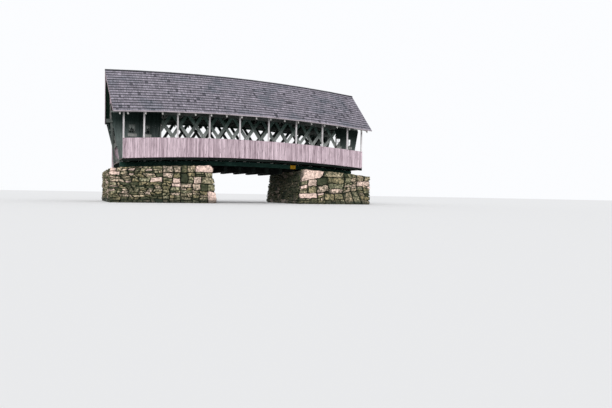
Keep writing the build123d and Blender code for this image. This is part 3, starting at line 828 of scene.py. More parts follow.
def boarding(name, node_name, widths, chance):
    """Plumb boards in place of a node's curved sheet, each lowered to the camber."""
    low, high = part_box(node_name)
    foot = low.z + drop(high.x, low.z + drop(high.x, high.z))
    height = high.z - foot
    board = sawn_block(name + "_master", (1, high.y - low.y, height), 0.003)
    places = []
    for x, width in board_row(low.x, high.x, widths, BOARD_GAP, chance):
        stand = chance.uniform(-UNEVEN, UNEVEN)
        place = Vector((x, (low.y + high.y) / 2 + stand, foot + height / 2 - drop(x, high.z) + 2 * stand))
        scale = Matrix.Diagonal((width, 1, 1 + chance.uniform(*CUT_BY_HAND), 1))
        places.append((Matrix.Translation(place) @ scale, chance.random()))
    piece = lay(name, [board], places)
    put_away(board)
    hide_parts(node_name)
    return piece


parapet = boarding("parapet_boards", "parapet_boarding", (0.10, 0.18), random.Random(41))
dress(parapet, pale_boards)
far_boards = boarding("far_truss_boards", "far_boarding", (0.14, 0.26), random.Random(42))
dress(far_boards, pale_boards)

# %% [markdown]
# The gables and end bays have slanted edges and window openings. A plain row of boards is made
# first, and a Boolean modifier then keeps what lies within a copy of the frame's own sheet, so
# the outline and the windows are exact. The copy is made thicker, so that it never cuts the
# boards' faces. A gable leans with the camber: it is made upright and turned at the end.

# %% Trimmed boards
MERGE_DISTANCE = 0.0005
ROW_OVERHANG = 0.01         # how far a row of boards reaches past the sheet, before it is cut
CUTTER_THICKER = 3          # times as thick as the boards


def merged_copy(node_name, matrix):
    """A closed copy of a node, moved by a matrix."""
    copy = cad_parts[node_name].copy()
    copy.data = copy.data.copy()
    copy.parent = None
    bpy.context.collection.objects.link(copy)
    copy.matrix_world = Matrix.Identity(4)
    copy.data.transform(matrix)
    bpy.ops.object.select_all(action="DESELECT")
    copy.select_set(True)
    bpy.context.view_layer.objects.active = copy
    bpy.ops.object.mode_set(mode="EDIT")
    bpy.ops.mesh.select_all(action="SELECT")
    bpy.ops.mesh.remove_doubles(threshold=MERGE_DISTANCE)
    bpy.ops.object.mode_set(mode="OBJECT")
    return copy


def trimmed_boards(name, node_name, flat_axis, back_to_flat, widths, chance):
    """Upright boards cut to a node's outline. flat_axis is the one across the boards' thickness."""
    cutter = merged_copy(node_name, back_to_flat)
    low = Vector(map(min, *[v.co for v in cutter.data.vertices]))
    high = Vector(map(max, *[v.co for v in cutter.data.vertices]))
    wide_axis = 1 - flat_axis
    middle = (low + high) / 2
    thickness = high[flat_axis] - low[flat_axis]
    size = [1, 1, high.z - low.z + 2 * ROW_OVERHANG]
    size[flat_axis] = thickness
    board = sawn_block(name + "_master", size, 0.003)
    places = []
    start, stop = low[wide_axis] - ROW_OVERHANG, high[wide_axis] + ROW_OVERHANG
    for centre, width in board_row(start, stop, widths, BOARD_GAP, chance):
        place = middle.copy()
        place[wide_axis] = centre
        place[flat_axis] += chance.uniform(-UNEVEN, UNEVEN)
        scale = [1, 1, 1, 1]
        scale[wide_axis] = width
        places.append((Matrix.Translation(place) @ Matrix.Diagonal(scale), chance.random()))
    piece = lay(name, [board], places)
    put_away(board)
    widen = [1, 1, 1, 1]
    widen[flat_axis] = CUTTER_THICKER
    cutter.data.transform(Matrix.Translation(middle) @ Matrix.Diagonal(widen) @ Matrix.Translation(-middle))
    cut = piece.modifiers.new("trim", "BOOLEAN")
    cut.operation, cut.object, cut.solver = "INTERSECT", cutter, "EXACT"
    bpy.context.view_layer.objects.active = piece
    bpy.ops.object.modifier_apply(modifier=cut.name)
    bpy.data.objects.remove(cutter)
    piece.data.transform(back_to_flat.inverted())
    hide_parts(node_name)
    return piece


for k, side in enumerate(("near", "far")):
    for j, end in enumerate(("left", "right")):
        panel = trimmed_boards(f"{side}_{end}_panel_boards", f"{side}_{end}_panel", 1, Matrix.Identity(4),
                               (0.14, 0.25), random.Random(51 + 2 * k + j))
        dress(panel, panel_boards)
gable_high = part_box("right_gable")[1]
portal_angle = angle_at(gable_high.x, gable_high.z)
for end, side in (("left", -1), ("right", 1)):
    gable = trimmed_boards(f"{end}_gable_boards", f"{end}_gable", 0, turned(-side * portal_angle),
                           (0.15, 0.26), random.Random(61 + side))
    dress(gable, pale_boards)

# %% [markdown]
# ## Floors
# Both floors are planks laid across, so that they take the wheels and the feet along the
# bridge. Each is turned with the camber, and lies flat on the stringers or joists. Their ends
# and undersides show below the bridge, which is why each is a solid piece of its own.

# %% Deck planks
ROAD_PLANK = 0.0997         # thickness of a road plank
WALKWAY_PLANK = 0.05
PLANK_GAP = 0.006
NUDGE = 0.004               # metres that a plank may lie to either side


def deck(name, node_name, thickness, widths, chance):
    """Planks across the bridge in place of a floor's sheet."""
    low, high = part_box(node_name)
    end_angle = angle_at(high.x, high.z)
    plank = sawn_block(name + "_master", (1, high.y - low.y, thickness), 0.005)
    places = []
    for x, width in board_row(-high.x, high.x, widths, PLANK_GAP, chance):
        nudge = chance.uniform(-NUDGE, NUDGE)
        place = Matrix.Translation((0, (low.y + high.y) / 2 + nudge, high.z - thickness / 2))
        angle = max(-end_angle, min(end_angle, angle_at(x, high.z)))
        places.append((turned(angle) @ place @ Matrix.Diagonal((width, 1, 1, 1)), chance.random()))
    piece = lay(name, [plank], places)
    put_away(plank)
    dress(piece, deck_planks)
    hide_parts(node_name)


deck("road_planks", "road_deck", ROAD_PLANK, (0.2, 0.3), random.Random(71))
deck("walkway_planks", "walkway_deck", WALKWAY_PLANK, (0.14, 0.2), random.Random(72))

# %% [markdown]
# ## Rubble walls
# The abutments are fieldstone laid dry, in all sizes, with a few big squared blocks at the
# corners. Each face of a wall is divided at random into slanted four-sided cells, mostly along
# level beds, and every cell gets one boulder. A boulder is a cube with a grid on it, drawn part
# of the way to a sphere. It is modelled a few times, and stretched to its cell's four corners.
# Rubble needs hundreds of copies, so its grid is coarse, and the points in mid-face are moved
# outwards to keep the face broad. The few squared blocks have a finer grid. A flat wall with a
# displacement would be less work, but its joints would be shallow, and nothing would stand
# behind them.

# %% Boulder masters
RUBBLE_CUTS, BLOCK_CUTS = 2, 4
BROADER = 1.7               # how far the points in mid-face of a rubble stone move outwards
UNSHAPED = 0.035            # how far a point is moved at random


def boulder(name, roundness, seed, cuts):
    """A rounded block one unit across. Its rim number grows from 0 in mid-face towards the joint."""
    bpy.ops.mesh.primitive_cube_add(size=1)
    made = bpy.context.object
    made.name = name
    bpy.ops.object.mode_set(mode="EDIT")
    bpy.ops.mesh.select_all(action="SELECT")
    bpy.ops.mesh.subdivide(number_cuts=cuts)
    bpy.ops.object.mode_set(mode="OBJECT")
    if cuts == RUBBLE_CUTS:
        for vertex in made.data.vertices:
            vertex.co = [c * BROADER if abs(c) < 0.2 else c for c in vertex.co]
    bpy.ops.object.mode_set(mode="EDIT")
    bpy.ops.transform.vertex_random(offset=UNSHAPED, uniform=1.0, seed=seed)
    bpy.ops.object.mode_set(mode="OBJECT")
    rounding = made.modifiers.new("rounding", "CAST")
    rounding.factor = roundness
    bpy.ops.object.modifier_apply(modifier=rounding.name)
    made.data.transform(Matrix.Diagonal([1 / side for side in made.dimensions] + [1]))
    off_middle = [2 * max(abs(vertex.co.x), abs(vertex.co.z)) for vertex in made.data.vertices]
    rim = made.data.attributes.new("rim", "FLOAT", "POINT")
    rim.data.foreach_set("value", [distance ** 3 for distance in off_middle])
    set_tone(made.data, 0.5)
    return made


boulders = [boulder(f"boulder_master_{seed}", 0.24 + 0.05 * (seed % 3), seed, RUBBLE_CUTS)
            for seed in range(6)]
squared = [boulder(f"squared_block_master_{seed}", 0.16, 10 + seed, BLOCK_CUTS) for seed in range(3)]
print("faces of a boulder:", len(boulders[0].data.polygons))
print("faces of a squared block:", len(squared[0].data.polygons))

# %% [markdown]
# A mason builds a wall up stone by stone. Here it is simpler to start from the whole face and
# cut it up: a cell is cut in two at a random share and slant, and its halves again, until each
# is about as large as a wanted stone. Upright cuts wait until a cell is low enough or far too
# wide, and so the long joints are the level ones.

# %% Dividing a face into stones
SIZE_RANGE = (0.65, 1.75)   # of a stone, as a share of the wanted size
CUT_SHARE = (0.36, 0.64)    # where a cell is cut in two
CUT_SLANT = 0.07
FAR_TOO_WIDE = 3


def cell(u0, v0, u1, v1):
    """A rectangle's corners, from the lower left round to the upper left."""
    return [Vector(corner) for corner in ((u0, v0), (u1, v0), (u1, v1), (u0, v1))]


def divided(corners, wide, tall, chance):
    """Cuts a cell into slanted smaller ones, until each is about as large as a wanted stone."""
    a, b, c, d = corners
    width = ((b - a).length + (c - d).length) / 2
    height = ((d - a).length + (c - b).length) / 2
    size = chance.uniform(*SIZE_RANGE)
    if width < wide * size and height < tall * size:
        return [corners]
    share = chance.uniform(*CUT_SHARE)
    slant = chance.uniform(-CUT_SLANT, CUT_SLANT)
    if height < tall * size or width / wide > FAR_TOO_WIDE * height / tall:
        foot, head = a.lerp(b, share + slant), d.lerp(c, share - slant)
        parts = [(a, foot, head, d), (foot, b, c, head)]
    else:
        left, right = a.lerp(d, share + slant), b.lerp(c, share - slant)
        parts = [(a, b, right, left), (left, right, c, d)]
    return [smaller for part in parts for smaller in divided(part, wide, tall, chance)]


RUBBLE_SIZE = (0.66, 0.38)  # width and height of a rubble stone, about
print("stones in a face of 4 by 2 m:", len(divided(cell(0, 0, 4, 2), *RUBBLE_SIZE, random.Random(1))))

# %% [markdown]
# A cell's corners are seldom square, so its boulder is stretched to them point by point: how
# far across and up the boulder a point lies becomes how far it lies between the corners, with
# half a joint left free all round. The depth stays as it is, apart from how far the stone
# stands proud.

# %% Stretching a boulder to its cell
STONE_DEPTH = 0.36
JOINT = 0.035
BLOCK_STAND = 0.06          # how far a squared block stands proud, and rubble at most
RUBBLE_TONE, RUBBLE_SPREAD = 0.5, 0.26


def stone(master, corners, to_place, stand, tone):
    """A copy of a boulder stretched to a cell. to_place gives the point at (u, v) and a depth."""
    a, b, c, d = corners
    width, height = (b - a).length, (d - a).length
    mesh = master.data.copy()
    for vertex in mesh.vertices:
        u = 0.5 + vertex.co.x * (1 - JOINT / width)
        v = 0.5 + vertex.co.z * (1 - JOINT / height)
        flat = a.lerp(b, u).lerp(d.lerp(c, u), v)
        vertex.co = to_place(flat.x, flat.y, (vertex.co.y + 0.5) * STONE_DEPTH - stand)
    set_tone(mesh, tone)
    return mesh


def walling(cells, to_place, chance):
    """Stones for (corners, tone) cells. One with a tone is a squared block, the others are rubble."""
    meshes = []
    for corners, tone in cells:
        if tone is not None:
            meshes.append(stone(chance.choice(squared), corners, to_place, BLOCK_STAND, tone))
            continue
        for part in divided(corners, *RUBBLE_SIZE, chance):
            shade = min(0.95, max(0, chance.gauss(RUBBLE_TONE, RUBBLE_SPREAD)))
            master = chance.choice(boulders)
            meshes.append(stone(master, part, to_place, chance.uniform(0.0, BLOCK_STAND), shade))
    return meshes


print("a stone is", STONE_DEPTH, "m deep, with joints of", JOINT, "m")

# %% [markdown]
# Each wall is first laid out as if it were a plain upright box. Two warps then give it its
# true form: the face under the bridge leans back as it rises, and the top follows the camber.
# That way the stones are divided and stretched on plain upright faces, and only
# their last step knows the real form.

# %% The box of one abutment
def wall_box(end):
    """What the frame says of one abutment: its box, its heights, the warp of its form, and its inverse."""
    low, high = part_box(f"{end}_abutment")
    wing_low, wing_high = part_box(f"{end}_wing_wall")
    side = -1 if end == "left" else 1
    foot = low.x if side > 0 else high.x
    back = high.x if side > 0 else low.x
    head = wing_low.x if side > 0 else wing_high.x
    seat = high.z + drop(head, high.z)
    wing = wing_high.z + drop(head, wing_high.z)
    lean = abs(head - foot) / abs(back - foot) / wing

    def warp(point):
        x = back + (point.x - back) * (1 - lean * point.z)
        return Vector((x, point.y, point.z * (1 - drop(x, seat) / seat)))

    def face_point(x, z):
        """Where a point of the real near face lies on the box, kept on it."""
        v = min(wing, z / (1 - drop(x, seat) / seat))
        u = back + (x - back) / (1 - lean * v) - low.x
        return Vector((min(high.x - low.x, max(0, u)), v))

    return low, high, wing_high.y, seat, wing, warp, face_point


def on_wall(start, along, warp):
    """How a point (u, v, depth) of an upright face lies in the bridge."""
    inward = Vector((-along.y, along.x, 0))
    return lambda u, v, depth: warp(start + along * u + inward * depth + Vector((0, 0, v)))


print("the left abutment's far corner:", [round(v, 2) for v in wall_box("left")[1]])

# %% [markdown]
# The near faces have stones that one would know again: a great capstone at each corner of
# the span, a pale squared block at the foot, long slabs on the right. They are placed one by
# one, as four corners from the lower left round to the upper left, in metres along and up
# the wall, with the tone of each. None instead of a tone means ordinary rubble.

# %% Stones placed one by one
TOP = 9                     # any height over the wall means its top edge
SPAN_EDGE = 3.0             # any place inside the span means the wall's corner
placed_stones = {
    "left": [
        ((-11, 0), (-7.2, 0), (-7.2, TOP), (-11, TOP), None),
        ((-7.2, 0), (-5.85, 0), (-5.85, 0.95), (-7.2, 0.95), None),
        ((-7.2, 0.95), (-5.85, 0.95), (-5.85, 1.5), (-7.2, 1.5), None),
        ((-7.2, 1.5), (-6.45, 1.5), (-6.45, 1.88), (-7.2, 1.88), None),
        ((-6.45, 1.5), (-5.85, 1.5), (-5.85, 1.88), (-6.45, 1.88), 0.93),
        ((-7.2, 1.88), (-6.45, 1.88), (-6.42, 2.25), (-7.2, 2.22), 0.85),
        ((-6.45, 1.88), (-5.85, 1.88), (-5.85, 2.28), (-6.42, 2.25), 0.3),
        ((-7.2, 2.22), (-6.42, 2.25), (-6.42, TOP), (-7.2, TOP), 0.82),
        ((-6.42, 2.25), (-5.85, 2.28), (-5.8, TOP), (-6.42, TOP), 0.78),
        ((-5.85, 0), (-4.98, 0), (-4.98, 0.96), (-5.85, 0.95), None),
        ((-5.85, 0.95), (-4.98, 0.96), (-4.98, 1.5), (-5.85, 1.5), None),
        ((-5.85, 1.5), (-5.35, 1.5), (-5.35, 2.3), (-5.85, 2.28), 0.05),
        ((-5.35, 1.5), (-4.28, 1.5), (-4.28, 2.02), (-5.35, 2.02), None),
        ((-5.35, 2.02), (-4.72, 2.02), (-4.75, 2.35), (-5.35, 2.3), None),
        ((-5.85, 2.28), (-5.35, 2.3), (-5.4, TOP), (-5.8, TOP), 0.2),
        ((-5.35, 2.3), (-4.75, 2.35), (-4.7, TOP), (-5.4, TOP), 0.68),
        ((-4.98, 0.96), (-4.3, 0.96), (-4.35, 1.5), (-4.98, 1.5), 0.8),
        ((-4.3, 0.96), (-3.78, 0.92), (-3.8, 1.5), (-4.35, 1.5), 0.08),
        ((-3.78, 0.92), (-SPAN_EDGE, 0.92), (-SPAN_EDGE, 1.5), (-3.8, 1.5), 0.5),
        ((-4.28, 1.5), (-SPAN_EDGE, 1.5), (-SPAN_EDGE, 2.03), (-4.28, 2.02), 0.6),
        ((-4.72, 2.02), (-SPAN_EDGE, 2.03), (-SPAN_EDGE, 2.38), (-4.75, 2.35), None),
        ((-4.75, 2.35), (-SPAN_EDGE, 2.38), (-SPAN_EDGE, TOP), (-4.7, TOP), 0.95),
        ((-4.98, 0), (-3.76, 0), (-3.76, 0.92), (-4.98, 0.96), None),
        ((-3.76, 0), (-SPAN_EDGE, 0), (-SPAN_EDGE, 0.92), (-3.76, 0.92), 0.97),
    ],
    "right": [
        ((SPAN_EDGE, 0), (5.7, 0), (5.66, 0.5), (SPAN_EDGE, 0.47), None),
        ((SPAN_EDGE, 0.47), (5.66, 0.5), (5.64, 0.95), (SPAN_EDGE, 0.88), 0.95),
        ((SPAN_EDGE, 0.88), (4.72, 0.92), (4.72, 2.02), (SPAN_EDGE, 1.9), None),
        ((4.72, 0.92), (5.64, 0.95), (5.6, 1.53), (4.72, 1.5), None),
        ((4.72, 1.5), (5.6, 1.53), (5.55, 2.17), (4.72, 2.02), 0.9),
        ((SPAN_EDGE, 1.85), (6.0, 2.25), (6.4, TOP), (SPAN_EDGE, TOP), 0.93),
        ((5.64, 0.95), (6.7, 1.1), (6.65, 1.7), (5.6, 1.53), 0.83),
        ((5.6, 1.53), (6.65, 1.72), (6.5, 2.3), (5.55, 2.17), 0.06),
        ((6.1, 2.3), (8.25, 2.3), (8.25, TOP), (6.4, TOP), 0.62),
        ((6.6, 1.8), (8.3, 1.8), (8.25, 2.3), (6.5, 2.3), 0.4),
        ((6.68, 1.35), (8.15, 1.35), (8.3, 1.8), (6.6, 1.8), 0.52),
        ((6.72, 0.9), (8.05, 0.95), (8.15, 1.35), (6.68, 1.35), 0.86),
        ((5.7, 0), (7.4, 0), (7.4, 0.3), (5.68, 0.3), None),
        ((6.3, 0.3), (7.4, 0.3), (7.3, 0.88), (6.3, 0.92), 0.38),
        ((5.68, 0.3), (6.3, 0.3), (6.3, 0.98), (5.64, 0.95), None),
        ((7.4, 0), (8.45, 0), (8.1, 0.95), (7.3, 0.9), None),
        ((8.45, 0), (9.3, 0), (8.95, 1.12), (8.1, 0.95), 0.68),
        ((9.3, 0), (10.1, 0), (9.5, 1.22), (8.95, 1.12), 0.56),
        ((10.1, 0), (11, 0), (11, 1.2), (9.5, 1.22), None),
        ((8.05, 0.95), (9.5, 1.22), (9.45, 2.05), (8.3, 1.8), None),
        ((8.3, 1.8), (9.45, 2.05), (9.4, TOP), (8.25, TOP), None),
        ((9.5, 1.22), (11, 1.2), (11, 1.62), (9.5, 1.6), None),
        ((9.5, 1.6), (11, 1.62), (11, 2.08), (9.45, 2.05), 0.9),
        ((9.45, 2.05), (10.2, 2.08), (10.2, TOP), (9.4, TOP), 0.7),
        ((10.2, 2.08), (11, 2.08), (11, TOP), (10.2, TOP), 0.62),
    ],
}
single_stones = [entry for wall in placed_stones.values() for entry in wall if entry[4] is not None]
print("stones placed one by one:", len(single_stones))

# %% [markdown]
# Four upright faces, the back of the raised wall and the level tops make up one abutment. The
# walls across start behind the long ones, so that two stones don't fill one place at a corner.
# The tops get fewer, larger and flatter stones.

# %% All the stones of one abutment
TOP_STONE_SIZE = (1.2, 0.9)
TOP_STONE_DEPTH = 0.5       # as a share of a wall stone's depth
TOP_TONE, TOP_SPREAD, TOP_PALEST = 0.4, 0.2, 0.7
CORNER_OVERLAP = 0.04       # how far the walls across reach into the long ones


def lying(level, warp):
    """How a point (u, v, depth) of a level top lies in the bridge."""
    return lambda u, v, depth: warp(Vector((u, v, level - depth * TOP_STONE_DEPTH)))


def abutment_stones(end, chance):
    """The upright faces' stones, and the flat stones on the seat and along the raised wall."""
    low, high, wing_back, seat, wing, warp, face_point = wall_box(end)
    length, width = high.x - low.x, high.y - low.y
    right, left = Vector((1, 0, 0)), Vector((-1, 0, 0))
    away, towards = Vector((0, 1, 0)), Vector((0, -1, 0))
    quoin = STONE_DEPTH - CORNER_OVERLAP
    rubble = [(cell(0, 0, width - 2 * quoin, seat), None)]
    near = []
    for *corners, tone in placed_stones[end]:
        near.append(([face_point(*corner) for corner in corners], tone))
    walls = walling(near, on_wall(Vector((low.x, low.y, 0)), right, warp), chance)
    back = [(cell(0, 0, length, seat), None)]
    walls += walling(back, on_wall(Vector((high.x, high.y, 0)), left, warp), chance)
    walls += walling(rubble, on_wall(Vector((high.x, low.y + quoin, 0)), away, warp), chance)
    walls += walling(rubble, on_wall(Vector((low.x, high.y - quoin, 0)), towards, warp), chance)
    if wing - seat > STONE_DEPTH:
        raised = [(cell(0, seat, length, wing), None)]
        walls += walling(raised, on_wall(Vector((high.x, wing_back, 0)), left, warp), chance)
    flat = []
    for y0, y1, level in ((wing_back, high.y, seat), (low.y + quoin, wing_back, wing)):
        for part in divided(cell(low.x, y0, high.x, y1), *TOP_STONE_SIZE, chance):
            master = chance.choice(squared)
            tone = min(TOP_PALEST, max(0, chance.gauss(TOP_TONE, TOP_SPREAD)))
            flat.append(stone(master, part, lying(level, warp), 0, tone))
    return walls, flat


print("stones on a top are about", " by ".join(map(str, TOP_STONE_SIZE)), "m")

# %% [markdown]
# The stones of an abutment are joined and pushed about by two cloud textures: a wide one bends
# the joints, and a fine one roughens the faces. Doing this to the whole wall, and not to each
# boulder, keeps neighbours from growing into each other. What ends up below the foot is
# pressed flat to its level. Behind the stones stands a plain dark core, a copy of the frame's
# own block drawn in a little, and it shows only as the dark of the joints.

# %% Warping and roughening
BEND_SIZE, BEND = 0.36, 0.22            # of the joints, in metres
ROUGHNESS_SIZE, ROUGHNESS = 0.14, 0.06  # of the faces, in metres
CORE_INSET = 0.1                        # from the wall's plane to the packing behind it
SHARPEST = 35                           # degrees. A sharper edge isn't shaded smooth


def displaced(piece, name, cloud_size, strength, direction, colour):
    """Moves a piece's surface by a cloud texture, and keeps the result."""
    clouds = bpy.data.textures.new(name, "CLOUDS")
    clouds.noise_scale = cloud_size
    clouds.cloud_type = "COLOR" if colour else "GRAYSCALE"
    push = piece.modifiers.new(name, "DISPLACE")
    push.texture, push.strength, push.direction = clouds, strength, direction
    push.texture_coords, push.mid_level = "LOCAL", 0.5
    bpy.context.view_layer.objects.active = piece
    bpy.ops.object.modifier_apply(modifier=push.name)


for end, seed in (("left", 81), ("right", 84)):
    walls, flat = abutment_stones(end, random.Random(seed))
    upright = joined(f"{end}_stonework", walls)
    displaced(upright, f"{end}_warp", BEND_SIZE, BEND, "RGB_TO_XYZ", True)
    top = joined(f"{end}_seat_stones", flat)
    bpy.ops.object.select_all(action="DESELECT")
    top.select_set(True)
    upright.select_set(True)
    bpy.context.view_layer.objects.active = upright
    bpy.ops.object.join()
    displaced(upright, f"{end}_roughness", ROUGHNESS_SIZE, ROUGHNESS, "NORMAL", False)
    for vertex in upright.data.vertices:
        vertex.co.z = max(vertex.co.z, 0)
    upright.data.update()
    bpy.ops.object.shade_smooth_by_angle(angle=math.radians(SHARPEST))
    dress(upright, fieldstone)
    print(upright.name, "reaches from", round(min(v.co.z for v in upright.data.vertices), 3), "to",
          round(max(v.co.z for v in upright.data.vertices), 3))
    for part in ("abutment", "wing_wall"):
        low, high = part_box(f"{end}_{part}")
        middle = Vector(((low.x + high.x) / 2, (low.y + high.y) / 2, 0))
        shrink = [1 - 2 * CORE_INSET / (high.x - low.x), 1 - 2 * CORE_INSET / (high.y - low.y),
                  1 - CORE_INSET / high.z, 1]
        inset = Matrix.Translation(middle) @ Matrix.Diagonal(shrink) @ Matrix.Translation(-middle)
        core = merged_copy(f"{end}_{part}", inset)
        core.name = f"{end}_{part}_packing"
        dress(core, packed_earth)
    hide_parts(f"{end}_abutment", f"{end}_wing_wall")
put_away(*boulders, *squared)

# %% [markdown]
# ## Pegs and bolts
# The lattice is pinned with two wooden pegs at every crossing, and their ends show on both
# faces. Iron bolts hold the chords and the parapet's rails. A peg or bolt is an eight-sided
# prism with domed ends, because more sides wouldn't show at this size.

# %% Peg and bolt masters
def round_head(name, radius, length, dome):
    """A round pin along Y with its ends drawn in to low domes."""
    bpy.ops.mesh.primitive_cylinder_add(vertices=8, radius=radius, depth=length,
                                        rotation=(math.radians(90), 0, 0))
    made = bpy.context.object
    made.name = name
    bpy.ops.object.transform_apply(location=False, rotation=True, scale=False)
    for polygon in made.data.polygons:
        polygon.select = abs(polygon.normal.y) > 0.9
    for edge in made.data.edges:
        edge.select = False
    for vertex in made.data.vertices:
        vertex.select = False
    bpy.ops.object.mode_set(mode="EDIT")
    bpy.ops.mesh.select_mode(type="FACE")
    bpy.ops.mesh.inset(thickness=radius * 0.4, depth=dome)
    bpy.ops.object.mode_set(mode="OBJECT")
    set_tone(made.data, 0.5)
    return made


MIDDLE_CROSSING = 5.36      # height of the middle row of crossings at mid-span
END_CLEARANCE = 0.35        # a crossing nearer to the lattice's end has no pegs
lattice_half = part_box("near_truss_lattice")[1].x
crossings = []
for row in (-2, -1, 0, 1, 2):
    for k in range(-9, 10):
        x = (k + 0.5 * (row % 2)) * STATION
        if abs(x) < lattice_half - END_CLEARANCE:
            crossings.append((x, MIDDLE_CROSSING + row * CROSSING_PITCH))
print("crossings in each lattice:", len(crossings))

# %% [markdown]
# The two pegs of a crossing sit aslant, the right one higher than the left. Where a chord
# covers the crossing, they go through it too. On the real bridge they are driven right
# through, so each is one long pin here, and its middle is hidden in the planks.

# %% Pegs in place
PEG_RADIUS = 0.022
PEG_STAND = 0.016           # how far a peg stands out on each side
PEG_OFFSET = 0.06           # of each peg from the crossing's middle, sideways
PEG_SLANT = 0.8             # and up or down, as a share of that
NEAR_CHORD = 0.3            # a crossing this near to a chord's outer edge is under the chord
chord_y = {side: [corner.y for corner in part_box(f"{side}_truss_lower_chord")] for side in ("near", "far")}
chord_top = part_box("near_truss_lower_chord")[1].z
upper_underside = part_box("near_truss_upper_chord")[1].z - NEAR_CHORD
chance = random.Random(91)
for side in ("near", "far"):
    depth = truss_y[side][1] - truss_y[side][0] + 2 * PEG_STAND
    chord_depth = chord_y[side][1] - chord_y[side][0] + 2 * PEG_STAND
    peg = round_head(f"{side}_peg_master", radius=PEG_RADIUS, length=1, dome=0.003)
    places = []
    for x, level in crossings:
        through_chord = level < chord_top + NEAR_CHORD or level > upper_underside
        for offset in (-PEG_OFFSET, PEG_OFFSET):
            place = Matrix.Translation((offset, sum(truss_y[side]) / 2, level + offset * PEG_SLANT))
            scale = Matrix.Diagonal((1, chord_depth if through_chord else depth, 1, 1))
            places.append((turned(angle_at(x, level)) @ place @ scale, chance.uniform(0.4, 1)))
    pegs = lay(f"{side}_lattice_pegs", [peg], places)
    dress(pegs, wood(f"{side}_peg_wood", *shades["panel"], along="y", laid=True))
    put_away(peg)

# %% [markdown]
# Bolts stand in pairs on the parapet, over each post and rail, and two by two along the chords.
# The parapet's ones are only lowered to the camber, as its boards are, and the chords' ones
# are turned with it.

# %% Bolts in place
PARAPET_HEIGHT = 1.465      # from the boards' lower edge up
RAIL_MIDDLE = 0.045         # from the boards' end to the middle of a rail
LAST_POST = 9               # posts stand on the odd stations, but the last two at the truss's ends
HALF_POST = 0.055
PAIR = (-0.03, 0.03)        # of the two bolts from a post's middle
CHORD_BOLTS = (0.07, 0.28)  # below a chord's top
PAST_CROSSING = 0.3         # from a station to its chord bolts
BOLT_OUT = 0.004            # from the boards' face to a bolt's middle
bolt = round_head("bolt_master", radius=0.019, length=0.02, dome=0.006)
bolt_places = []
parapet_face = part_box("parapet_boarding")[0].y
parapet_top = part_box("parapet_boarding")[1].z
posts_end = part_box("walkway_posts")[1].x
for k in range(-LAST_POST, LAST_POST + 1, 2):
    x = k * STATION if abs(k) < LAST_POST else math.copysign(posts_end - HALF_POST, k)
    for below in (RAIL_MIDDLE, PARAPET_HEIGHT - RAIL_MIDDLE):
        for offset in PAIR:
            z = parapet_top - below - drop(x, parapet_top)
            bolt_places.append((Matrix.Translation((x + offset, parapet_face - BOLT_OUT, z)), 0.5))
for face in (*chord_y["near"], chord_y["far"][0]):
    for k in range(-8, 9):
        for below in CHORD_BOLTS:
            place = Matrix.Translation((PAST_CROSSING, face, chord_top - below))
            bolt_places.append((turned(angle_at(k * STATION, chord_top)) @ place, 0.5))
bolts = lay("iron_bolts", [bolt], bolt_places)
dress(bolts, rusty_iron)

# %% [markdown]
# ## Windows, trim and the plate
# The windows have no glass, only a cross of thin bars in each frame, on the far side as on the
# near one. The openings are already there, since the end bays' boards were cut to them, so two
# bars copied to each window are enough.

# %% Window bars
WINDOW_CENTRES = (-9.19, -8.1, 8.625, 9.7)
WINDOW_SIZE = (0.48, 0.68)
WINDOW_SILL = 5.23
BAR = 0.022
BAR_SHORT = 0.07            # how much shorter a bar is than the frame
BAR_INSET = 0.03            # from the frame's face
frame_low, frame_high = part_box("window_frames")
upright_bar = sawn_block("window_bar_master", (BAR, BAR, WINDOW_SIZE[1] - BAR_SHORT), 0.003)
level_bar = sawn_block("window_cross_master", (WINDOW_SIZE[0] - BAR_SHORT, BAR, BAR), 0.003)
places = []
for y in (frame_low.y + BAR_INSET, frame_high.y - BAR_INSET):
    for x in WINDOW_CENTRES:
        matrix = Matrix.Translation((x, y, WINDOW_SILL + WINDOW_SIZE[1] / 2))
        places += [(matrix, 0.5), (matrix, 0.5)]
window_bars = lay("window_bars", [upright_bar, level_bar], places)
dress(window_bars, panel_boards)
put_away(upright_bar, level_bar)

# %% [markdown]
# Beside the walkway, a pale trim board finishes the inner edge of each end bay, and under each
# window is a wide sill board. They are one plain board at several sizes, nailed on the
# upright boards, which is why they stand a little proud.

# %% Trim and sill boards
TRIM_WIDTH, TRIM_HEIGHT, TRIM_FOOT = 0.1, 1.75, 4.35
TRIM_THICKNESS = 0.02
SILL_BOARD = (WINDOW_SIZE[0] + 0.16, 0.22)
SILL_PLACE = (0.03, -0.13)  # from the sill's middle to the board's
NAILED_ON = 0.009           # from the upright boards' face to a trim board's middle
panel_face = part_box("near_left_panel")[0].y
trim_places = []
trim = sawn_block("trim_master", (1, TRIM_THICKNESS, 1), 0.003)
for end, side in (("left", -1), ("right", 1)):
    low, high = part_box(f"near_{end}_panel")
    inner = high.x if side < 0 else low.x
    place = Vector((inner + side * TRIM_WIDTH / 2, panel_face - NAILED_ON, TRIM_FOOT + TRIM_HEIGHT / 2))
    scale = Matrix.Diagonal((TRIM_WIDTH, 1, TRIM_HEIGHT, 1))
    trim_places.append((Matrix.Translation(place) @ scale, 0.75))
    for x in (x for x in WINDOW_CENTRES if x * side > 0):
        place = Vector((x + SILL_PLACE[0], panel_face - NAILED_ON, WINDOW_SILL + SILL_PLACE[1]))
        scale = Matrix.Diagonal((SILL_BOARD[0], 1, SILL_BOARD[1], 1))
        trim_places.append((Matrix.Translation(place) @ scale, 0.6))
panel_trim = lay("panel_trim", [trim], trim_places)
# The trim is painted darker towards its top, as painted shade under the eaves.
trim_wood = wood("trim_wood", *trim_shades, along="z", laid=True, eave_light_and_shade=(4.9, 6.2, 1.2, 0.25))
dress(panel_trim, trim_wood)
put_away(trim)

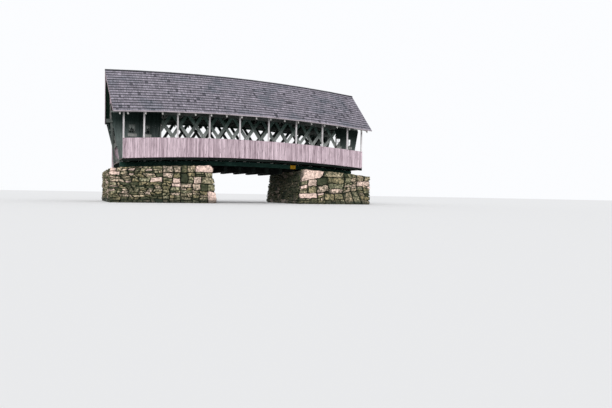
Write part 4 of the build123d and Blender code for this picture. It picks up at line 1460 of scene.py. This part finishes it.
# %% [markdown]
# The small enamelled plate is bare. It is held by four bolts, and a smaller copy of the chords'
# bolt does for them.

# %% The plate's bolts
BOLT_INSET = (0.045, 0.055)     # from the plate's edges, across and up
SMALLER = 0.6
PLATE_BOLT_OUT = 0.002      # from the plate's face to a bolt's middle
plate_low, plate_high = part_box("sign_plate")
plate_bolts = []
for x in (plate_low.x + BOLT_INSET[0], plate_high.x - BOLT_INSET[0]):
    for z in (plate_low.z + BOLT_INSET[1], plate_high.z - BOLT_INSET[1]):
        place = Matrix.Translation((x, plate_low.y - PLATE_BOLT_OUT, z))
        plate_bolts.append((place @ Matrix.Scale(SMALLER, 4), 0.5))
sign_bolts = lay("plate_bolts", [bolt], plate_bolts)
dress(sign_bolts, rusty_iron)
put_away(bolt)

# %% [markdown]
# ## The stage
# The bridge stands on a plain pale floor at the foot's level. What the camera sees of floor
# and sky is paler than the light that they give to the bridge, so the background is light and
# the shadows stay soft but clear. Light Path tells the two apart. More light would make the
# background as pale, but it would bleach the bridge too.

# %% Floor
FLOOR_WIDTH = 600           # metres, so that its edge is far behind the bridge
FLOOR_GIVES, FLOOR_SEEN = (0.42, 0.42, 0.42, 1), (0.82, 0.82, 0.82, 1)


def seen_directly(tree):
    """1 where the camera sees a surface itself, in a reflection or through glass, and 0 in its light."""
    path = node(tree, "LightPath", {})
    in_glass = calc(tree, "MAXIMUM", path.outputs["Is Glossy Ray"], path.outputs["Is Transmission Ray"])
    return calc(tree, "MAXIMUM", path.outputs["Is Camera Ray"], in_glass)


bpy.ops.mesh.primitive_plane_add(size=FLOOR_WIDTH, location=(0, 0, 0))
floor = bpy.context.object
floor.name = "studio_floor"
floor_material, tree, shader, _ = new_material("studio_floor")
tree.links.new(mix(tree, seen_directly(tree), FLOOR_GIVES, FLOOR_SEEN), shader.inputs["Base Color"])
shader.inputs["Roughness"].default_value = 1.0
shader.inputs["Specular IOR Level"].default_value = 0.0
floor.data.materials.append(floor_material)
print("the floor is", tuple(round(v) for v in floor.dimensions[:2]), "m wide")

# %% [markdown]
# ## Light
# It is a bright overcast day. Most light comes from a pale sky all round. A large soft sun,
# half way up at the front left, models the stones and boards, and a second one, lower and
# softer still, stands for the glow from low down that reaches in under the roof. Area lamps
# would have to be huge for an object of this size, and a sun is the same everywhere.

# %% Sky and suns
SKY_COLOUR = (0.97, 0.98, 1.0, 1)
SKY_GIVES, SKY_SEEN = 0.8, 1.0


def soft_sun(name, tilt, turn, energy, softness):
    """A sun that is tilted from straight down and turned round, with angles in degrees."""
    bpy.ops.object.light_add(type="SUN", rotation=(math.radians(tilt), 0, math.radians(turn)))
    sun = bpy.context.object
    sun.name = name
    sun.data.energy = energy
    sun.data.angle = math.radians(softness)


world = bpy.data.worlds.new("studio_sky")
bpy.context.scene.world = world
world.use_nodes = True
sky_tree = world.node_tree
background = sky_tree.nodes["Background"]
background.inputs["Color"].default_value = SKY_COLOUR
strength = remap(sky_tree, seen_directly(sky_tree), 0, 1, SKY_GIVES, SKY_SEEN)
sky_tree.links.new(strength, background.inputs["Strength"])
soft_sun("soft_sun", tilt=58, turn=-32, energy=1.1, softness=34)
soft_sun("horizon_glow", tilt=82, turn=-16, energy=0.62, softness=60)
print("lamps:", len(bpy.data.lights))

# %% [markdown]
# ## Camera
# The camera stands low and far to the left, with the wide lens of the photograph. Its place,
# its three turns and its focal length in pixels were fitted to the ridge, the eaves, the
# parapet and the posts of the photograph, which is surer than placing it by eye. The lens is
# that focal length again, in millimetres for an ordinary sensor.

# %% Camera
CAMERA_PLACE = (-13.928, -43.331, 0.866)
YAW, PITCH, ROLL = 0.438, -0.0197, 0.0175
FOCAL_PIXELS = 520.25
IMAGE_WIDTH = 612
SENSOR_WIDTH = 36           # millimetres
right = Vector((math.cos(YAW), -math.sin(YAW), 0))
ahead = Vector((math.sin(YAW), math.cos(YAW), 0))
up = Vector((0, 0, 1))
view_ahead = ahead * math.cos(PITCH) + up * math.sin(PITCH)
view_up = up * math.cos(PITCH) - ahead * math.sin(PITCH)
image_right = right * math.cos(ROLL) + view_up * math.sin(ROLL)
image_up = view_up * math.cos(ROLL) - right * math.sin(ROLL)
camera_data = bpy.data.cameras.new("camera")
camera = bpy.data.objects.new("camera", camera_data)
bpy.context.collection.objects.link(camera)
camera_data.sensor_width = SENSOR_WIDTH
camera_data.lens = FOCAL_PIXELS * SENSOR_WIDTH / IMAGE_WIDTH
camera_data.clip_end = 1000
turn = Matrix((image_right, image_up, -view_ahead)).transposed().to_4x4()
camera.matrix_world = Matrix.Translation(CAMERA_PLACE) @ turn
bpy.context.scene.camera = camera
bpy.context.scene.view_settings.view_transform = "Standard"
print("the lens is", round(camera_data.lens, 2), "mm")
